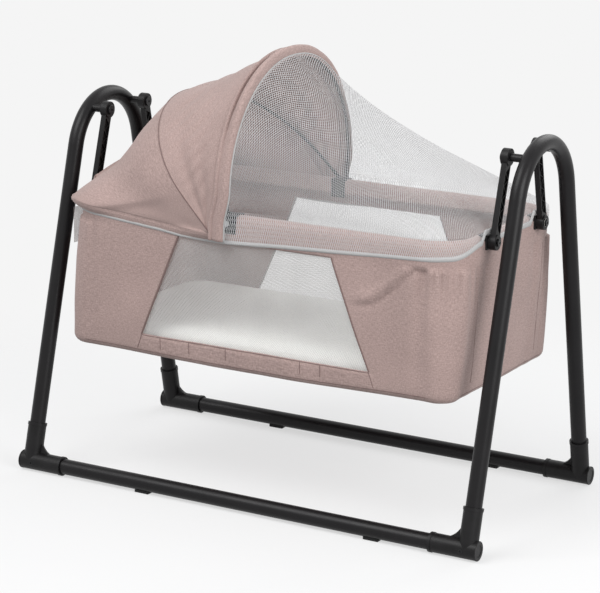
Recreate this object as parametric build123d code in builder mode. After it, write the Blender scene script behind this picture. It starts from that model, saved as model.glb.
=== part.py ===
"""Rocking bedside crib: a tube stand, four swing arms, a fabric basket and a folding hood with a net."""

import math
import os

from build123d import *

# X runs from the head end to the foot end, Y from the near side to the far side, and the floor is at zero.

# Stand tubes
leg_end_gap = 60.0
foot_spread = 549.5
tube_diameter = 32.0
tube_wall = 1.5
rail_axis_height = 20.0
arch_radius = 121.5
arch_centre_height = 636.0

# Moulded elbows of the stand
sleeve_wall = 2.8
sleeve_seat = 0.1
sleeve_reach = 78.0
upright_reach = 80.0
outer_reach = 20.0
collar_rise = 1.0
collar_width = 6.0
web_thickness = 6.0
web_reach_share = 0.95
web_hollow_share = 0.36
rail_stop = 18.0
leg_stop = 24.0
cap_thickness = 3.0
cap_plug_depth = 9.0
cap_rim_rise = 0.5
cap_dish = 0.8
cap_dish_share = 0.62
cap_edge_radius = 1.0
elbow_screw_diameter = 4.0
elbow_screw_head_diameter = 8.0
elbow_screw_head_height = 2.2
elbow_screw_length = 12.0
elbow_screw_inset = 8.0

# Floor pads
pad_head_place = 226.0
pad_foot_place = 297.0
pad_length = 32.0
pad_width = 16.0

# Swing arms and their pivots
arm_end_gap = 6.0
arm_eye_thickness = 16.0
arm_bar_thickness = 11.0
arm_bar_width = 21.0
upper_pivot_spread = 142.0
upper_pivot_height = 736.0
lower_pivot_spread = 227.0
lower_pivot_rise = 3.6
upper_eye_diameter = 34.0
lower_eye_diameter = 30.0
eye_edge_radius = 1.2
pocket_depth = 3.6
pocket_count = 9
pocket_rib = 2.4
pocket_border = 2.6
pivot_diameter = 10.0
pivot_end_play = 0.4
bush_wall = 2.0
bush_running_gap = 0.05
bush_press_gap = 0.02
open_pivot_gap = 1.45
open_bush_wall = 1.6
stub_diameter = 16.0
pivot_screw_diameter = 6.0
pivot_screw_depth = 14.0
pivot_screw_gap = 0.1
upper_head_diameter = 20.0
lower_head_diameter = 15.0
pivot_head_height = 3.2
head_edge_radius = 0.8
hex_socket_size = 2.5
hex_socket_depth = 1.8

# Basket
basket_length = 880.0
basket_width = 476.0
basket_corner_radius = 90.0
basket_taper = 6.0
basket_hang = 297.0
basket_bottom_radius = 18.0
fabric_thickness = 2.5
soft_gap = 0.4
rim_diameter = 20.0
rim_wall = 1.5
rim_axis_height = 574.0
rim_lip_drop = 26.0
joiner_length = 80.0
joiner_gap = 0.1
window_top_width = 342.0
window_bottom_width = 514.0
window_top_drop = 34.0
window_foot_rise = 43.0
net_panel_thickness = 0.8
net_panel_gap = 0.5
net_border = 9.0
net_pitch = 32.0
net_hole_side = 20.0
board_thickness = 4.5
mattress_thickness = 44.0
mattress_inset = 9.0
mattress_crown = 8.0
mattress_inset_shares = (2.2, 0.5, 0.0, 0.6, 3.4)
mattress_height_shares = (0.0, 0.22, 0.5, 0.8, 1.0)

# Hanger brackets
bracket_width = 30.0
bracket_wall = 4.5
bracket_boss_height = 28.0
bracket_tail_drop = 10.0
bracket_tail_width = 6.0
bracket_slit = 2.0
bracket_room = 2.5
bracket_edge_radius = 1.5

# Net hem, head flap and hood skirt
hem_drop = 33.0
hem_width = 8.0
hem_thickness = 3.0
flap_drop = 62.0
flap_width = 410.0
flap_thickness = 0.8
skirt_foot_drop = 22.0
skirt_top_drop = 0.3
skirt_thickness = 1.5
clip_room = 4.0

# Hood hubs
hub_place = -56.0
clip_width = 32.0
clip_wall = 3.0
clip_foot_drop = 22.0
clip_edge_radius = 1.5
hub_pin_diameter = 6.0
hub_pin_gap = 0.05
hub_pin_head_diameter = 12.0
hub_pin_head_height = 2.0
hub_gap = 0.3

# Hood bows
bow_diameter = 6.0
bow_wall = 1.0
lug_thickness = 3.0
lug_radius = 10.0
lug_neck_width = 7.0
lug_collar_rise = 0.2
lug_collar_length = 12.0
lug_spigot_length = 12.0
spigot_gap = 0.1
mid_bow_start = 40.0
front_bow_start = 52.0
mid_bow_angle = -48.0
mid_bow_rise = 309.0
mid_bow_half_width = 243.4
mid_bow_corner = 226.0
front_bow_rise = 302.0
front_bow_half_width = 250.0
front_bow_corner = 243.0

# Hood cloth and net
canopy_thickness = 1.5
panel_gap = 0.3
panel_foot_rise = 26.6
front_hem_back = 26.0
front_hem_front = 6.0
net_thickness = 0.8
net_edge_width = 4.0
panel_start_step = 2.0
rear_start_step = 13.0
cut_overrun = 5.0

# Values worked out from the sizes above
leg_plane_distance = basket_length + 2 * leg_end_gap
half_stand = leg_plane_distance / 2
half_foot = foot_spread / 2
tube_radius = tube_diameter / 2
sleeve_bore = tube_radius + sleeve_seat
sleeve_radius = sleeve_bore + sleeve_wall
arch_centre_rise = arch_centre_height - rail_axis_height
arch_reach = math.hypot(half_foot, arch_centre_rise)
leg_lean = math.atan2(half_foot, arch_centre_rise) - math.asin(arch_radius / arch_reach)
arch_top_height = arch_centre_height + arch_radius

lower_pivot_height = rim_axis_height + lower_pivot_rise
arm_inner_plane = basket_length / 2 + arm_end_gap
arm_outer_plane = arm_inner_plane + arm_eye_thickness
arm_middle_plane = (arm_inner_plane + arm_outer_plane) / 2
half_upper = upper_pivot_spread / 2
half_lower = lower_pivot_spread / 2
arm_drop = upper_pivot_height - lower_pivot_height
arm_length = math.hypot(half_lower - half_upper, arm_drop)
arm_splay = math.atan2(half_lower - half_upper, arm_drop)
pivot_radius = pivot_diameter / 2
running_bore = pivot_radius + bush_running_gap
open_bore = pivot_radius + open_pivot_gap
screw_radius = pivot_screw_diameter / 2

half_length = basket_length / 2
half_width = basket_width / 2
rim_radius = rim_diameter / 2
rim_inset = fabric_thickness + soft_gap + rim_radius
rim_half_length = half_length - rim_inset
rim_half_width = half_width - rim_inset
basket_top_height = rim_axis_height + rim_radius + soft_gap + fabric_thickness
channel_inset = rim_inset + rim_radius + soft_gap + fabric_thickness
basket_bottom_height = rim_axis_height - basket_hang
basket_depth = basket_top_height - basket_bottom_height
window_top_height = rim_axis_height - window_top_drop
window_bottom_height = basket_bottom_height + window_foot_rise
hem_height = rim_axis_height - hem_drop
notch_top_height = lower_pivot_height + bracket_boss_height / 2 + bracket_room
wall_lean = math.atan2(basket_taper, basket_depth)
inner_bottom_height = basket_bottom_height + fabric_thickness

hub_height = rim_axis_height
clip_foot_height = rim_axis_height - clip_foot_drop
skirt_foot_height = rim_axis_height - skirt_foot_drop
skirt_top_height = basket_top_height - skirt_top_drop
rear_foot_height = skirt_top_height + panel_gap
panel_foot_height = hub_height + panel_foot_rise
mid_lean = math.radians(-mid_bow_angle)
mid_start = panel_foot_rise / math.cos(mid_lean)
mid_foot_reach = panel_foot_rise * math.tan(mid_lean)

head, foot = -1, 1
near, far = -1, 1
end_names = {head: "head", foot: "foot"}
side_names = {near: "near", far: "far"}
corners = [(end, side) for end in (head, foot) for side in (near, far)]


def save(piece, name):
    """Label a finished piece and write it as its own file."""
    piece.part.label = name
    export_step(piece.part, f"parts/{name}.step")


def at_corner(piece, end, side):
    """Copy of a piece made for the head end's near corner, mirrored to another corner."""
    shape = piece.part
    if end == foot:
        shape = shape.mirror(Plane.YZ)
    if side == far:
        shape = shape.mirror(Plane.XZ)
    with BuildPart() as copy:
        add(shape)
    return copy


def leg_point(side, distance):
    """Point on a leg's axis in the frame's own plane, measured up from the rail's axis."""
    across = half_foot - distance * math.sin(leg_lean)
    return (side * across, rail_axis_height + distance * math.cos(leg_lean))


def tangent_point(side):
    """Point where a straight leg runs into the arch."""
    across = arch_radius * math.cos(leg_lean)
    return (side * across, arch_centre_height + arch_radius * math.sin(leg_lean))


def end_frame(end, outer_radius, inner_radius=0.0):
    """Inverted U of one stand end, as a tube or, with no inner radius, as the solid that a pin is cut by."""
    with BuildPart() as frame:
        with BuildLine(Plane.YZ.offset(end * half_stand)) as path:
            Line(leg_point(near, leg_stop), tangent_point(near))
            ThreePointArc(tangent_point(near), (0, arch_top_height), tangent_point(far))
            Line(tangent_point(far), leg_point(far, leg_stop))
        with BuildSketch(path.line ^ 0):
            Circle(outer_radius)
            if inner_radius:
                Circle(inner_radius, mode=Mode.SUBTRACT)
        sweep(path=path.line)
    return frame


def side_rail(side):
    """Straight floor rail between two elbows."""
    with BuildPart() as rail:
        with BuildSketch(Plane.YZ):
            with Locations((side * half_foot, rail_axis_height)):
                Circle(tube_radius)
                Circle(tube_radius - tube_wall, mode=Mode.SUBTRACT)
        extrude(amount=half_stand - rail_stop, both=True)
    return rail


def elbow(end, side):
    """Moulded corner with a sleeve for the rail, a sleeve for the leg and a web that braces them."""
    corner = Vector(end * half_stand, side * half_foot, rail_axis_height)
    inward = Vector(-end, 0, 0)
    upward = Vector(0, -side * math.sin(leg_lean), math.cos(leg_lean))
    outer_plane = Plane(corner - inward * outer_reach, z_dir=inward)
    rail_mouth = Plane(corner + inward * sleeve_reach, z_dir=-inward)
    leg_mouth = Plane(corner + upward * upright_reach, z_dir=-upward)
    web_plane = Plane(corner, x_dir=inward, z_dir=inward.cross(upward))
    web_run = sleeve_reach * web_reach_share
    web_rise = upright_reach * web_reach_share
    web_hollow = (web_run * web_hollow_share, web_rise * web_hollow_share)
    with BuildPart() as body:
        with BuildSketch(outer_plane):
            Circle(sleeve_radius)
        extrude(amount=outer_reach + sleeve_reach)
        with BuildSketch(rail_mouth):
            Circle(sleeve_radius + collar_rise)
        extrude(amount=collar_width)
        with BuildSketch(leg_mouth):
            Circle(sleeve_radius)
        extrude(amount=upright_reach)
        with BuildSketch(leg_mouth):
            Circle(sleeve_radius + collar_rise)
        extrude(amount=collar_width)
        with BuildSketch(web_plane):
            with BuildLine():
                Line((0, 0), (web_run, 0))
                Line((web_run, 0), (web_run, sleeve_radius))
                ThreePointArc((web_run, sleeve_radius), web_hollow, (sleeve_radius, web_rise))
                Line((sleeve_radius, web_rise), (0, web_rise))
                Line((0, web_rise), (0, 0))
            make_face()
        extrude(amount=web_thickness / 2, both=True)
        with BuildSketch(rail_mouth):
            Circle(sleeve_bore)
        extrude(amount=sleeve_reach - rail_stop + sleeve_seat, mode=Mode.SUBTRACT)
        with BuildSketch(leg_mouth):
            Circle(sleeve_bore)
        extrude(amount=upright_reach - leg_stop + sleeve_seat, mode=Mode.SUBTRACT)
        with BuildSketch(outer_plane):
            Circle(sleeve_bore)
        extrude(amount=cap_plug_depth + sleeve_seat, mode=Mode.SUBTRACT)
        with Locations(elbow_screw_plane(end, side, sleeve_radius)):
            CounterBoreHole(
                elbow_screw_diameter / 2 + sleeve_seat,
                elbow_screw_head_diameter / 2 + sleeve_seat,
                elbow_screw_head_height,
                elbow_screw_length + sleeve_seat,
            )
    return body


def elbow_screw_plane(end, side, distance):
    """Plane across an elbow screw's axis, at a distance outward from the rail's axis."""
    place = end * (half_stand - elbow_screw_inset)
    origin = (place, side * (half_foot + distance), rail_axis_height)
    return Plane(origin, x_dir=(1, 0, 0), z_dir=(0, side, 0))


def elbow_screws():
    """One screw through each elbow's outward side."""
    with BuildPart() as screws:
        for end, side in corners:
            with BuildSketch(elbow_screw_plane(end, side, sleeve_radius - elbow_screw_head_height)):
                Circle(elbow_screw_head_diameter / 2)
            extrude(amount=elbow_screw_head_height)
            with BuildSketch(elbow_screw_plane(end, side, sleeve_radius - elbow_screw_head_height)):
                Circle(elbow_screw_diameter / 2)
            extrude(amount=-(elbow_screw_length - elbow_screw_head_height))
            with BuildSketch(elbow_screw_plane(end, side, sleeve_radius)):
                RegularPolygon(hex_socket_size, 6)
            extrude(amount=-hex_socket_depth, mode=Mode.SUBTRACT)
    return screws


def end_caps():
    """Round plug with a dished face at the outward end of each elbow."""
    cap_radius = sleeve_radius + cap_rim_rise
    dish_radius = cap_radius * cap_dish_share
    with BuildPart() as caps:
        for end, side in corners:
            face = Plane(
                (end * (half_stand + outer_reach), side * half_foot, rail_axis_height),
                z_dir=(end, 0, 0),
            )
            with BuildSketch(face):
                Circle(cap_radius)
            extrude(amount=cap_thickness)
            with BuildSketch(face):
                Circle(tube_radius)
            extrude(amount=-cap_plug_depth)
            with BuildSketch(face.offset(cap_thickness)):
                Circle(dish_radius)
            extrude(amount=-cap_dish, mode=Mode.SUBTRACT)
        rims = caps.edges().filter_by(GeomType.CIRCLE)
        outer_place = half_stand + outer_reach + cap_thickness
        rims = [e for e in rims if abs(abs(e.center().X) - outer_place) < cap_dish / 2]
        rims = [e for e in rims if e.radius > dish_radius + cap_dish]
        fillet(rims, radius=cap_edge_radius)
    return caps


def floor_pads():
    """Rubber blocks under both rails, hollowed to the tube."""
    pad_height = rail_axis_height
    with BuildPart() as pads:
        for side in (near, far):
            for place in (-pad_head_place, pad_foot_place):
                with Locations((place, side * half_foot, 0)):
                    Box(pad_length, pad_width, pad_height, align=(Align.CENTER, Align.CENTER, Align.MIN))
            with BuildSketch(Plane.YZ.offset(-half_stand)):
                with Locations((side * half_foot, rail_axis_height)):
                    Circle(tube_radius + soft_gap / 2)
            extrude(amount=leg_plane_distance, mode=Mode.SUBTRACT)
    return pads


def pivot_plane(end, side, half_spread, height, place):
    """Plane across a pivot's axis, facing outward along X, at a distance from the middle of the crib."""
    return Plane((end * place, side * half_spread, height), x_dir=(0, 1, 0), z_dir=(end, 0, 0))


def pivot_pins():
    """Stub pins on the arches that carry the arms, cut to sit on the tube."""
    with BuildPart() as pins:
        for end, side in corners:
            outer_end = arm_outer_plane + pivot_end_play
            inner_end = arm_inner_plane - pivot_end_play
            with BuildSketch(pivot_plane(end, side, half_upper, upper_pivot_height, outer_end)):
                Circle(stub_diameter / 2)
            extrude(amount=half_stand - outer_end)
            with BuildSketch(pivot_plane(end, side, half_upper, upper_pivot_height, inner_end)):
                Circle(pivot_radius)
            extrude(amount=arm_eye_thickness + 2 * pivot_end_play)
            with BuildSketch(pivot_plane(end, side, half_upper, upper_pivot_height, inner_end)):
                Circle(screw_radius + pivot_screw_gap)
            extrude(amount=pivot_screw_depth + pivot_screw_gap, mode=Mode.SUBTRACT)
        for end in (head, foot):
            add(end_frame(end, tube_radius + sleeve_seat).part, mode=Mode.SUBTRACT)
    return pins


def socket_screws(half_spread, height, head_place, head_diameter, facing, shoulder, tip):
    """Button head screws at one height, their heads facing in (-1) or out (1) along X."""
    outer_place = head_place + facing * pivot_head_height
    with BuildPart() as screws:
        for end, side in corners:
            with BuildSketch(pivot_plane(end, side, half_spread, height, head_place)):
                Circle(head_diameter / 2)
            extrude(amount=facing * pivot_head_height)
            if shoulder:
                with BuildSketch(pivot_plane(end, side, half_spread, height, head_place)):
                    Circle(pivot_radius)
                extrude(amount=-facing * shoulder)
            with BuildSketch(pivot_plane(end, side, half_spread, height, head_place)):
                Circle(screw_radius)
            extrude(amount=-facing * (shoulder + tip))
            with BuildSketch(pivot_plane(end, side, half_spread, height, outer_place)):
                RegularPolygon(hex_socket_size, 6)
            extrude(amount=-facing * hex_socket_depth, mode=Mode.SUBTRACT)
        rims = screws.edges().filter_by(GeomType.CIRCLE)
        rims = [e for e in rims if abs(abs(e.center().X) - outer_place) < head_edge_radius / 2]
        fillet(rims, radius=head_edge_radius)
    return screws


def arm_plane(end, side):
    """Plane of one arm, with its local X from the upper eye to the lower eye."""
    along = (0, side * math.sin(arm_splay), -math.cos(arm_splay))
    origin = (end * arm_middle_plane, side * half_upper, upper_pivot_height)
    return Plane(origin, x_dir=along, z_dir=(end, 0, 0))


def pocket_corners(index, pitch, start):
    """Three corners of a triangular pocket between the zigzag ribs of an arm."""
    half_depth = arm_bar_width / 2 - pocket_border
    flip = 1 if index % 2 else -1
    left = start + index * pitch / 2
    return [
        (left + pocket_rib / 2, -flip * half_depth),
        (left + pitch - pocket_rib / 2, -flip * half_depth),
        (left + pitch / 2, flip * half_depth),
    ]


def lower_bore(side):
    """Bore radius and bush wall of an arm's lower eye; the far arms carry the open pivots."""
    if side == far:
        return open_bore, open_bush_wall
    return running_bore, bush_wall


def swing_arm(end, side):
    """Moulded arm with an eye at each end and zigzag ribs in both faces."""
    plane = arm_plane(end, side)
    bore, wall = lower_bore(side)
    first = upper_eye_diameter / 2
    pitch = 2 * (arm_length - first - lower_eye_diameter / 2) / (pocket_count + 1)
    with BuildPart() as arm:
        with BuildSketch(plane):
            with Locations((arm_length / 2, 0)):
                Rectangle(arm_length, arm_bar_width)
        extrude(amount=arm_bar_thickness / 2, both=True)
        for facing in (1, -1):
            with BuildSketch(plane.offset(facing * arm_bar_thickness / 2)):
                for index in range(pocket_count):
                    Polygon(*pocket_corners(index, pitch, first), align=None)
            extrude(amount=-facing * pocket_depth, mode=Mode.SUBTRACT)
        with BuildSketch(plane):
            Circle(upper_eye_diameter / 2)
            with Locations((arm_length, 0)):
                Circle(lower_eye_diameter / 2)
        extrude(amount=arm_eye_thickness / 2, both=True)
        eye_face = arm_bar_thickness / 2 + eye_edge_radius
        rims = arm.edges().filter_by(GeomType.CIRCLE)
        rims = [e for e in rims if abs(abs(e.center().X) - arm_middle_plane) > eye_face]
        fillet(rims, radius=eye_edge_radius)
        with BuildSketch(plane):
            Circle(running_bore + bush_wall + bush_press_gap)
            with Locations((arm_length, 0)):
                Circle(bore + wall + bush_press_gap)
        extrude(amount=arm_eye_thickness, both=True, mode=Mode.SUBTRACT)
    return arm


def arm_bushes(end, side):
    """Plain bushes in one arm's two eyes."""
    bore, wall = lower_bore(side)
    with BuildPart() as bushes:
        with BuildSketch(arm_plane(end, side)):
            Circle(running_bore + bush_wall)
            Circle(running_bore, mode=Mode.SUBTRACT)
            with Locations((arm_length, 0)):
                Circle(bore + wall)
                Circle(bore, mode=Mode.SUBTRACT)
        extrude(amount=arm_eye_thickness / 2, both=True)
    return bushes


def hanger_bracket(end, side):
    """Clamp on the basket's rim with a boss for an arm's lower eye and a tail below it."""
    hold_radius = rim_radius + soft_gap / 2
    clamp_radius = hold_radius + bracket_wall
    boss_face = arm_inner_plane - pivot_end_play
    section = Plane((0, side * half_lower, 0), x_dir=(1, 0, 0), z_dir=(0, -1, 0))
    axis_place = end * rim_half_length
    boss_middle = (end * boss_face + axis_place) / 2
    tail_place = end * (rim_half_length - clamp_radius + bracket_tail_width / 2)
    tail_top = rim_axis_height
    tail_foot = rim_axis_height - clamp_radius - bracket_tail_drop
    with BuildPart() as bracket:
        with BuildSketch(section):
            with Locations((axis_place, rim_axis_height)):
                Circle(clamp_radius)
            with Locations((boss_middle, lower_pivot_height)):
                Rectangle(boss_face - rim_half_length, bracket_boss_height)
            with Locations((tail_place, (tail_top + tail_foot) / 2)):
                Rectangle(bracket_tail_width, tail_top - tail_foot)
        extrude(amount=bracket_width / 2, both=True)
        ends = bracket.faces().filter_by(Axis.Y)
        fillet(ends.edges(), radius=bracket_edge_radius)
        with BuildSketch(section):
            with Locations((axis_place, rim_axis_height)):
                Circle(hold_radius)
            with Locations((axis_place, rim_axis_height - clamp_radius)):
                Rectangle(bracket_slit, 2 * bracket_wall + bracket_slit)
        extrude(amount=bracket_width, both=True, mode=Mode.SUBTRACT)
        with BuildSketch(pivot_plane(end, side, half_lower, lower_pivot_height, boss_face)):
            Circle(screw_radius + pivot_screw_gap)
        extrude(amount=-(boss_face - rim_half_length - hold_radius), mode=Mode.SUBTRACT)
    return bracket


def rim_outline(end, inset, start):
    """U line around one end of the basket, drawn inward of its top outline by an inset."""
    reach = end * (half_length - inset)
    across = half_width - inset
    turns = [(start, -across), (reach, -across), (reach, across), (start, across)]
    return FilletPolyline(*turns, radius=basket_corner_radius - inset)


def rim_tube(end):
    """Half of the basket's tube rim."""
    with BuildPart() as tube:
        with BuildLine(Plane.XY.offset(rim_axis_height)) as path:
            rim_outline(end, rim_inset, end * joiner_gap)
        with BuildSketch(path.line ^ 0):
            Circle(rim_radius)
            Circle(rim_radius - rim_wall, mode=Mode.SUBTRACT)
        sweep(path=path.line)
    return tube


def rim_joiners():
    """Plugs inside the rim tubes where their ends meet."""
    with BuildPart() as joiners:
        with BuildSketch(Plane.YZ):
            for side in (near, far):
                with Locations((side * rim_half_width, rim_axis_height)):
                    Circle(rim_radius - rim_wall - joiner_gap)
        extrude(amount=joiner_length / 2, both=True)
    return joiners


def basket_outline(inset, mode=Mode.ADD):
    """Rounded rectangle of the basket's top outline, drawn inward by an inset."""
    return RectangleRounded(
        basket_length - 2 * inset, basket_width - 2 * inset, basket_corner_radius - inset, mode=mode
    )


def basket_solid(inset, bottom, bottom_radius):
    """Tapered body of the basket without its hollow."""
    with BuildPart() as body:
        with BuildSketch(Plane.XY.offset(basket_top_height)):
            basket_outline(inset)
        with BuildSketch(Plane.XY.offset(bottom)):
            basket_outline(inset + basket_taper)
        loft(ruled=True)
        fillet(body.faces().sort_by(Axis.Z)[0].edges(), radius=bottom_radius)
    return body


def bracket_notches(foot_height, top_height):
    """Openings for the four brackets through whatever runs round the rim."""
    notch_width = bracket_width + 2 * bracket_room
    with Locations(*[(end * half_length, side * half_lower, foot_height) for end, side in corners]):
        Box(
            2 * channel_inset + 2 * cut_overrun,
            notch_width,
            top_height - foot_height,
            align=(Align.CENTER, Align.CENTER, Align.MIN),
            mode=Mode.SUBTRACT,
        )


def basket_fabric():
    """Cloth tub with its top hem folded over the rim, two window openings and slots for the brackets."""
    hem_foot = basket_top_height - rim_lip_drop
    with BuildPart() as fabric:
        add(basket_solid(0.0, basket_bottom_height, basket_bottom_radius).part)
        hollow = basket_solid(fabric_thickness, inner_bottom_height, basket_bottom_radius - fabric_thickness)
        add(hollow.part, mode=Mode.SUBTRACT)
        with BuildSketch(Plane.XY.offset(hem_foot)):
            basket_outline(channel_inset - fabric_thickness)
            basket_outline(channel_inset, Mode.SUBTRACT)
        extrude(amount=rim_lip_drop)
        with BuildSketch(Plane.XY.offset(basket_top_height - fabric_thickness)):
            basket_outline(soft_gap)
            basket_outline(channel_inset, Mode.SUBTRACT)
        extrude(amount=fabric_thickness)
        with BuildSketch(Plane.XZ):
            Polygon(*window_corners(0.0), align=None)
        extrude(amount=basket_width, both=True, mode=Mode.SUBTRACT)
        bracket_notches(hem_height + hem_width, basket_top_height + cut_overrun)
    return fabric


def window_corners(inset):
    """Corners of the trapezoid window, drawn inward by an inset."""
    top = window_top_width / 2 - inset
    bottom = window_bottom_width / 2 - inset
    low = window_bottom_height + inset
    high = window_top_height - inset
    return [(-bottom, low), (bottom, low), (top, high), (-top, high)]


def inside_window(along, height, inset):
    """Tell whether a point lies in the window, clear of its edge by an inset."""
    low = window_bottom_height + inset
    high = window_top_height - inset
    share = (height - window_bottom_height) / (window_top_height - window_bottom_height)
    half = (window_bottom_width + (window_top_width - window_bottom_width) * share) / 2 - inset
    return low <= height <= high and abs(along) <= half


def window_net(side):
    """Flat net in a window: one face with rows of diamond holes, leaning with the wall."""
    middle_height = (window_top_height + window_bottom_height) / 2
    lean_here = basket_taper * (basket_top_height - middle_height) / basket_depth
    across = half_width - fabric_thickness / 2 - lean_here
    plane = Plane(
        (0, side * across, middle_height),
        x_dir=(1, 0, 0),
        z_dir=(0, -math.cos(wall_lean), side * math.sin(wall_lean)),
    )
    columns = int(window_bottom_width / net_pitch)
    rows = int(2 * (window_top_height - window_bottom_height) / net_pitch)
    holes = []
    for row in range(-rows, rows + 1):
        for column in range(-columns, columns + 1):
            along = (column + (row % 2) / 2) * net_pitch
            rise = row * net_pitch / 2
            if inside_window(along, middle_height + rise, net_border + net_hole_side / math.sqrt(2)):
                holes.append((along, rise))
    with BuildPart() as net:
        with BuildSketch(plane.offset(-net_panel_thickness / 2)):
            Polygon(*[(x, z - middle_height) for x, z in window_corners(net_panel_gap)], align=None)
            with Locations(*holes):
                Rectangle(net_hole_side, net_hole_side, rotation=45, mode=Mode.SUBTRACT)
        extrude(amount=net_panel_thickness)
    return net


def base_board():
    """Stiff board on the basket's floor."""
    with BuildPart() as board:
        with BuildSketch(Plane.XY.offset(inner_bottom_height + soft_gap)):
            basket_outline(basket_taper + basket_bottom_radius)
        extrude(amount=board_thickness)
    return board


def mattress():
    """Crowned cushion whose sides draw in above and below their middle."""
    foot_height = inner_bottom_height + soft_gap + board_thickness + soft_gap
    with BuildPart() as cushion:
        for inset_share, height_share in zip(mattress_inset_shares, mattress_height_shares):
            with BuildSketch(Plane.XY.offset(foot_height + mattress_thickness * height_share)):
                basket_outline(basket_taper + fabric_thickness + mattress_inset * (1 + inset_share))
        loft()
        crown_plane = Plane.XY.offset(foot_height + mattress_thickness)
        top_inset = basket_taper + fabric_thickness + mattress_inset * (1 + mattress_inset_shares[-1])
        with BuildSketch(crown_plane):
            basket_outline(top_inset)
        with BuildSketch(crown_plane.offset(mattress_crown)):
            basket_outline(top_inset + mattress_inset * mattress_inset_shares[-1])
        loft(ruled=True)
    return cushion


def wall_band(inset, thickness, low, high, end=None, start=0.0):
    """Upright strip round the basket, or round one end of it, outside its top outline."""
    with BuildPart() as band:
        with BuildSketch(Plane.XY.offset(low)):
            if end is None:
                basket_outline(-inset - thickness)
                basket_outline(-inset, Mode.SUBTRACT)
            else:
                with BuildLine():
                    outer = rim_outline(end, -inset - thickness, start)
                    inner = rim_outline(end, -inset, start)
                    Line(outer @ 0, inner @ 0)
                    Line(outer @ 1, inner @ 1)
                make_face()
        extrude(amount=high - low)
    return band


def net_hem():
    """White binding that holds the net's lower edge round the whole basket."""
    return wall_band(soft_gap, hem_thickness, hem_height, hem_height + hem_width)


def head_flap():
    """Loose tail of net below the hem at the head end."""
    place = -(half_length + soft_gap + hem_thickness)
    with BuildPart() as flap:
        with Locations((place, 0, hem_height - soft_gap - flap_drop / 2)):
            Box(flap_thickness, flap_width, flap_drop)
    return flap


def hood_skirt():
    """Lower band of the hood, fixed round the basket's head end, with slits for the brackets."""
    start = hub_place - clip_width / 2 - clip_room
    with BuildPart() as skirt:
        add(wall_band(soft_gap, skirt_thickness, skirt_foot_height, skirt_top_height, head, start).part)
        bracket_notches(skirt_foot_height - cut_overrun, notch_top_height)
    return skirt


def hood_clip(side):
    """Saddle over the rim that carries the hood's pivot pin on its outer cheek."""
    outer_face = half_width + soft_gap
    inner_face = half_width - channel_inset - soft_gap
    top = basket_top_height + soft_gap
    with BuildPart() as clip:
        with BuildSketch(Plane.YZ.offset(hub_place)):
            with BuildLine():
                Polyline(
                    (side * (outer_face + clip_wall), clip_foot_height),
                    (side * (outer_face + clip_wall), top + clip_wall),
                    (side * (inner_face - clip_wall), top + clip_wall),
                    (side * (inner_face - clip_wall), clip_foot_height),
                    (side * inner_face, clip_foot_height),
                    (side * inner_face, top),
                    (side * outer_face, top),
                    (side * outer_face, clip_foot_height),
                    close=True,
                )
            make_face()
        extrude(amount=clip_width / 2, both=True)
        outer_edges = clip.edges().filter_by(Axis.X).group_by(Axis.Z)[-1]
        fillet(outer_edges, radius=clip_edge_radius)
        with BuildSketch(hub_plane(side, outer_face - cut_overrun)):
            Circle(hub_pin_diameter / 2 + hub_pin_gap)
        extrude(amount=clip_wall + 2 * cut_overrun, mode=Mode.SUBTRACT)
    return clip


def hub_plane(side, across):
    """Plane across the hood's pivot axis, facing outward from the basket."""
    return Plane((hub_place, side * across, hub_height), x_dir=(1, 0, 0), z_dir=(0, side, 0))


def lug_places():
    """Distances across of both bows' lugs and of the pins' heads, stacked outside a clip."""
    cheek = half_width + soft_gap + clip_wall
    mid_inner = cheek + hub_gap
    front_inner = mid_bow_half_width + bow_diameter / 2 + lug_collar_rise + hub_gap
    pin_head = front_inner + lug_thickness + hub_gap
    return mid_inner, front_inner, pin_head


def hood_pins():
    """Headed pins on which both bows turn."""
    pin_head = lug_places()[2]
    start = half_width + soft_gap
    with BuildPart() as pins:
        for side in (near, far):
            with BuildSketch(hub_plane(side, start)):
                Circle(hub_pin_diameter / 2)
            extrude(amount=pin_head - start)
            with BuildSketch(hub_plane(side, pin_head)):
                Circle(hub_pin_head_diameter / 2)
            extrude(amount=hub_pin_head_height)
    return pins


def bow_plane(angle, shift=0.0):
    """Plane through the hood's pivot axis, leaning by an angle towards the foot end."""
    lean = math.radians(angle)
    normal = Vector(math.cos(lean), 0, -math.sin(lean))
    return Plane(Vector(hub_place, 0, hub_height) + normal * shift, x_dir=(0, 1, 0), z_dir=normal)


def arch(half_span, rise, corner, start):
    """Arch line that starts and ends at a height above the pivot axis."""
    return FilletPolyline(
        (-half_span, start), (-half_span, rise), (half_span, rise), (half_span, start), radius=corner
    )


def bow(angle, half_span, rise, corner, start):
    """Bent tube of the hood."""
    with BuildPart() as tube:
        with BuildLine(bow_plane(angle)) as path:
            arch(half_span, rise, corner, start)
        with BuildSketch(path.line ^ 0):
            Circle(bow_diameter / 2)
            Circle(bow_diameter / 2 - bow_wall, mode=Mode.SUBTRACT)
        sweep(path=path.line)
    return tube


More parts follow.
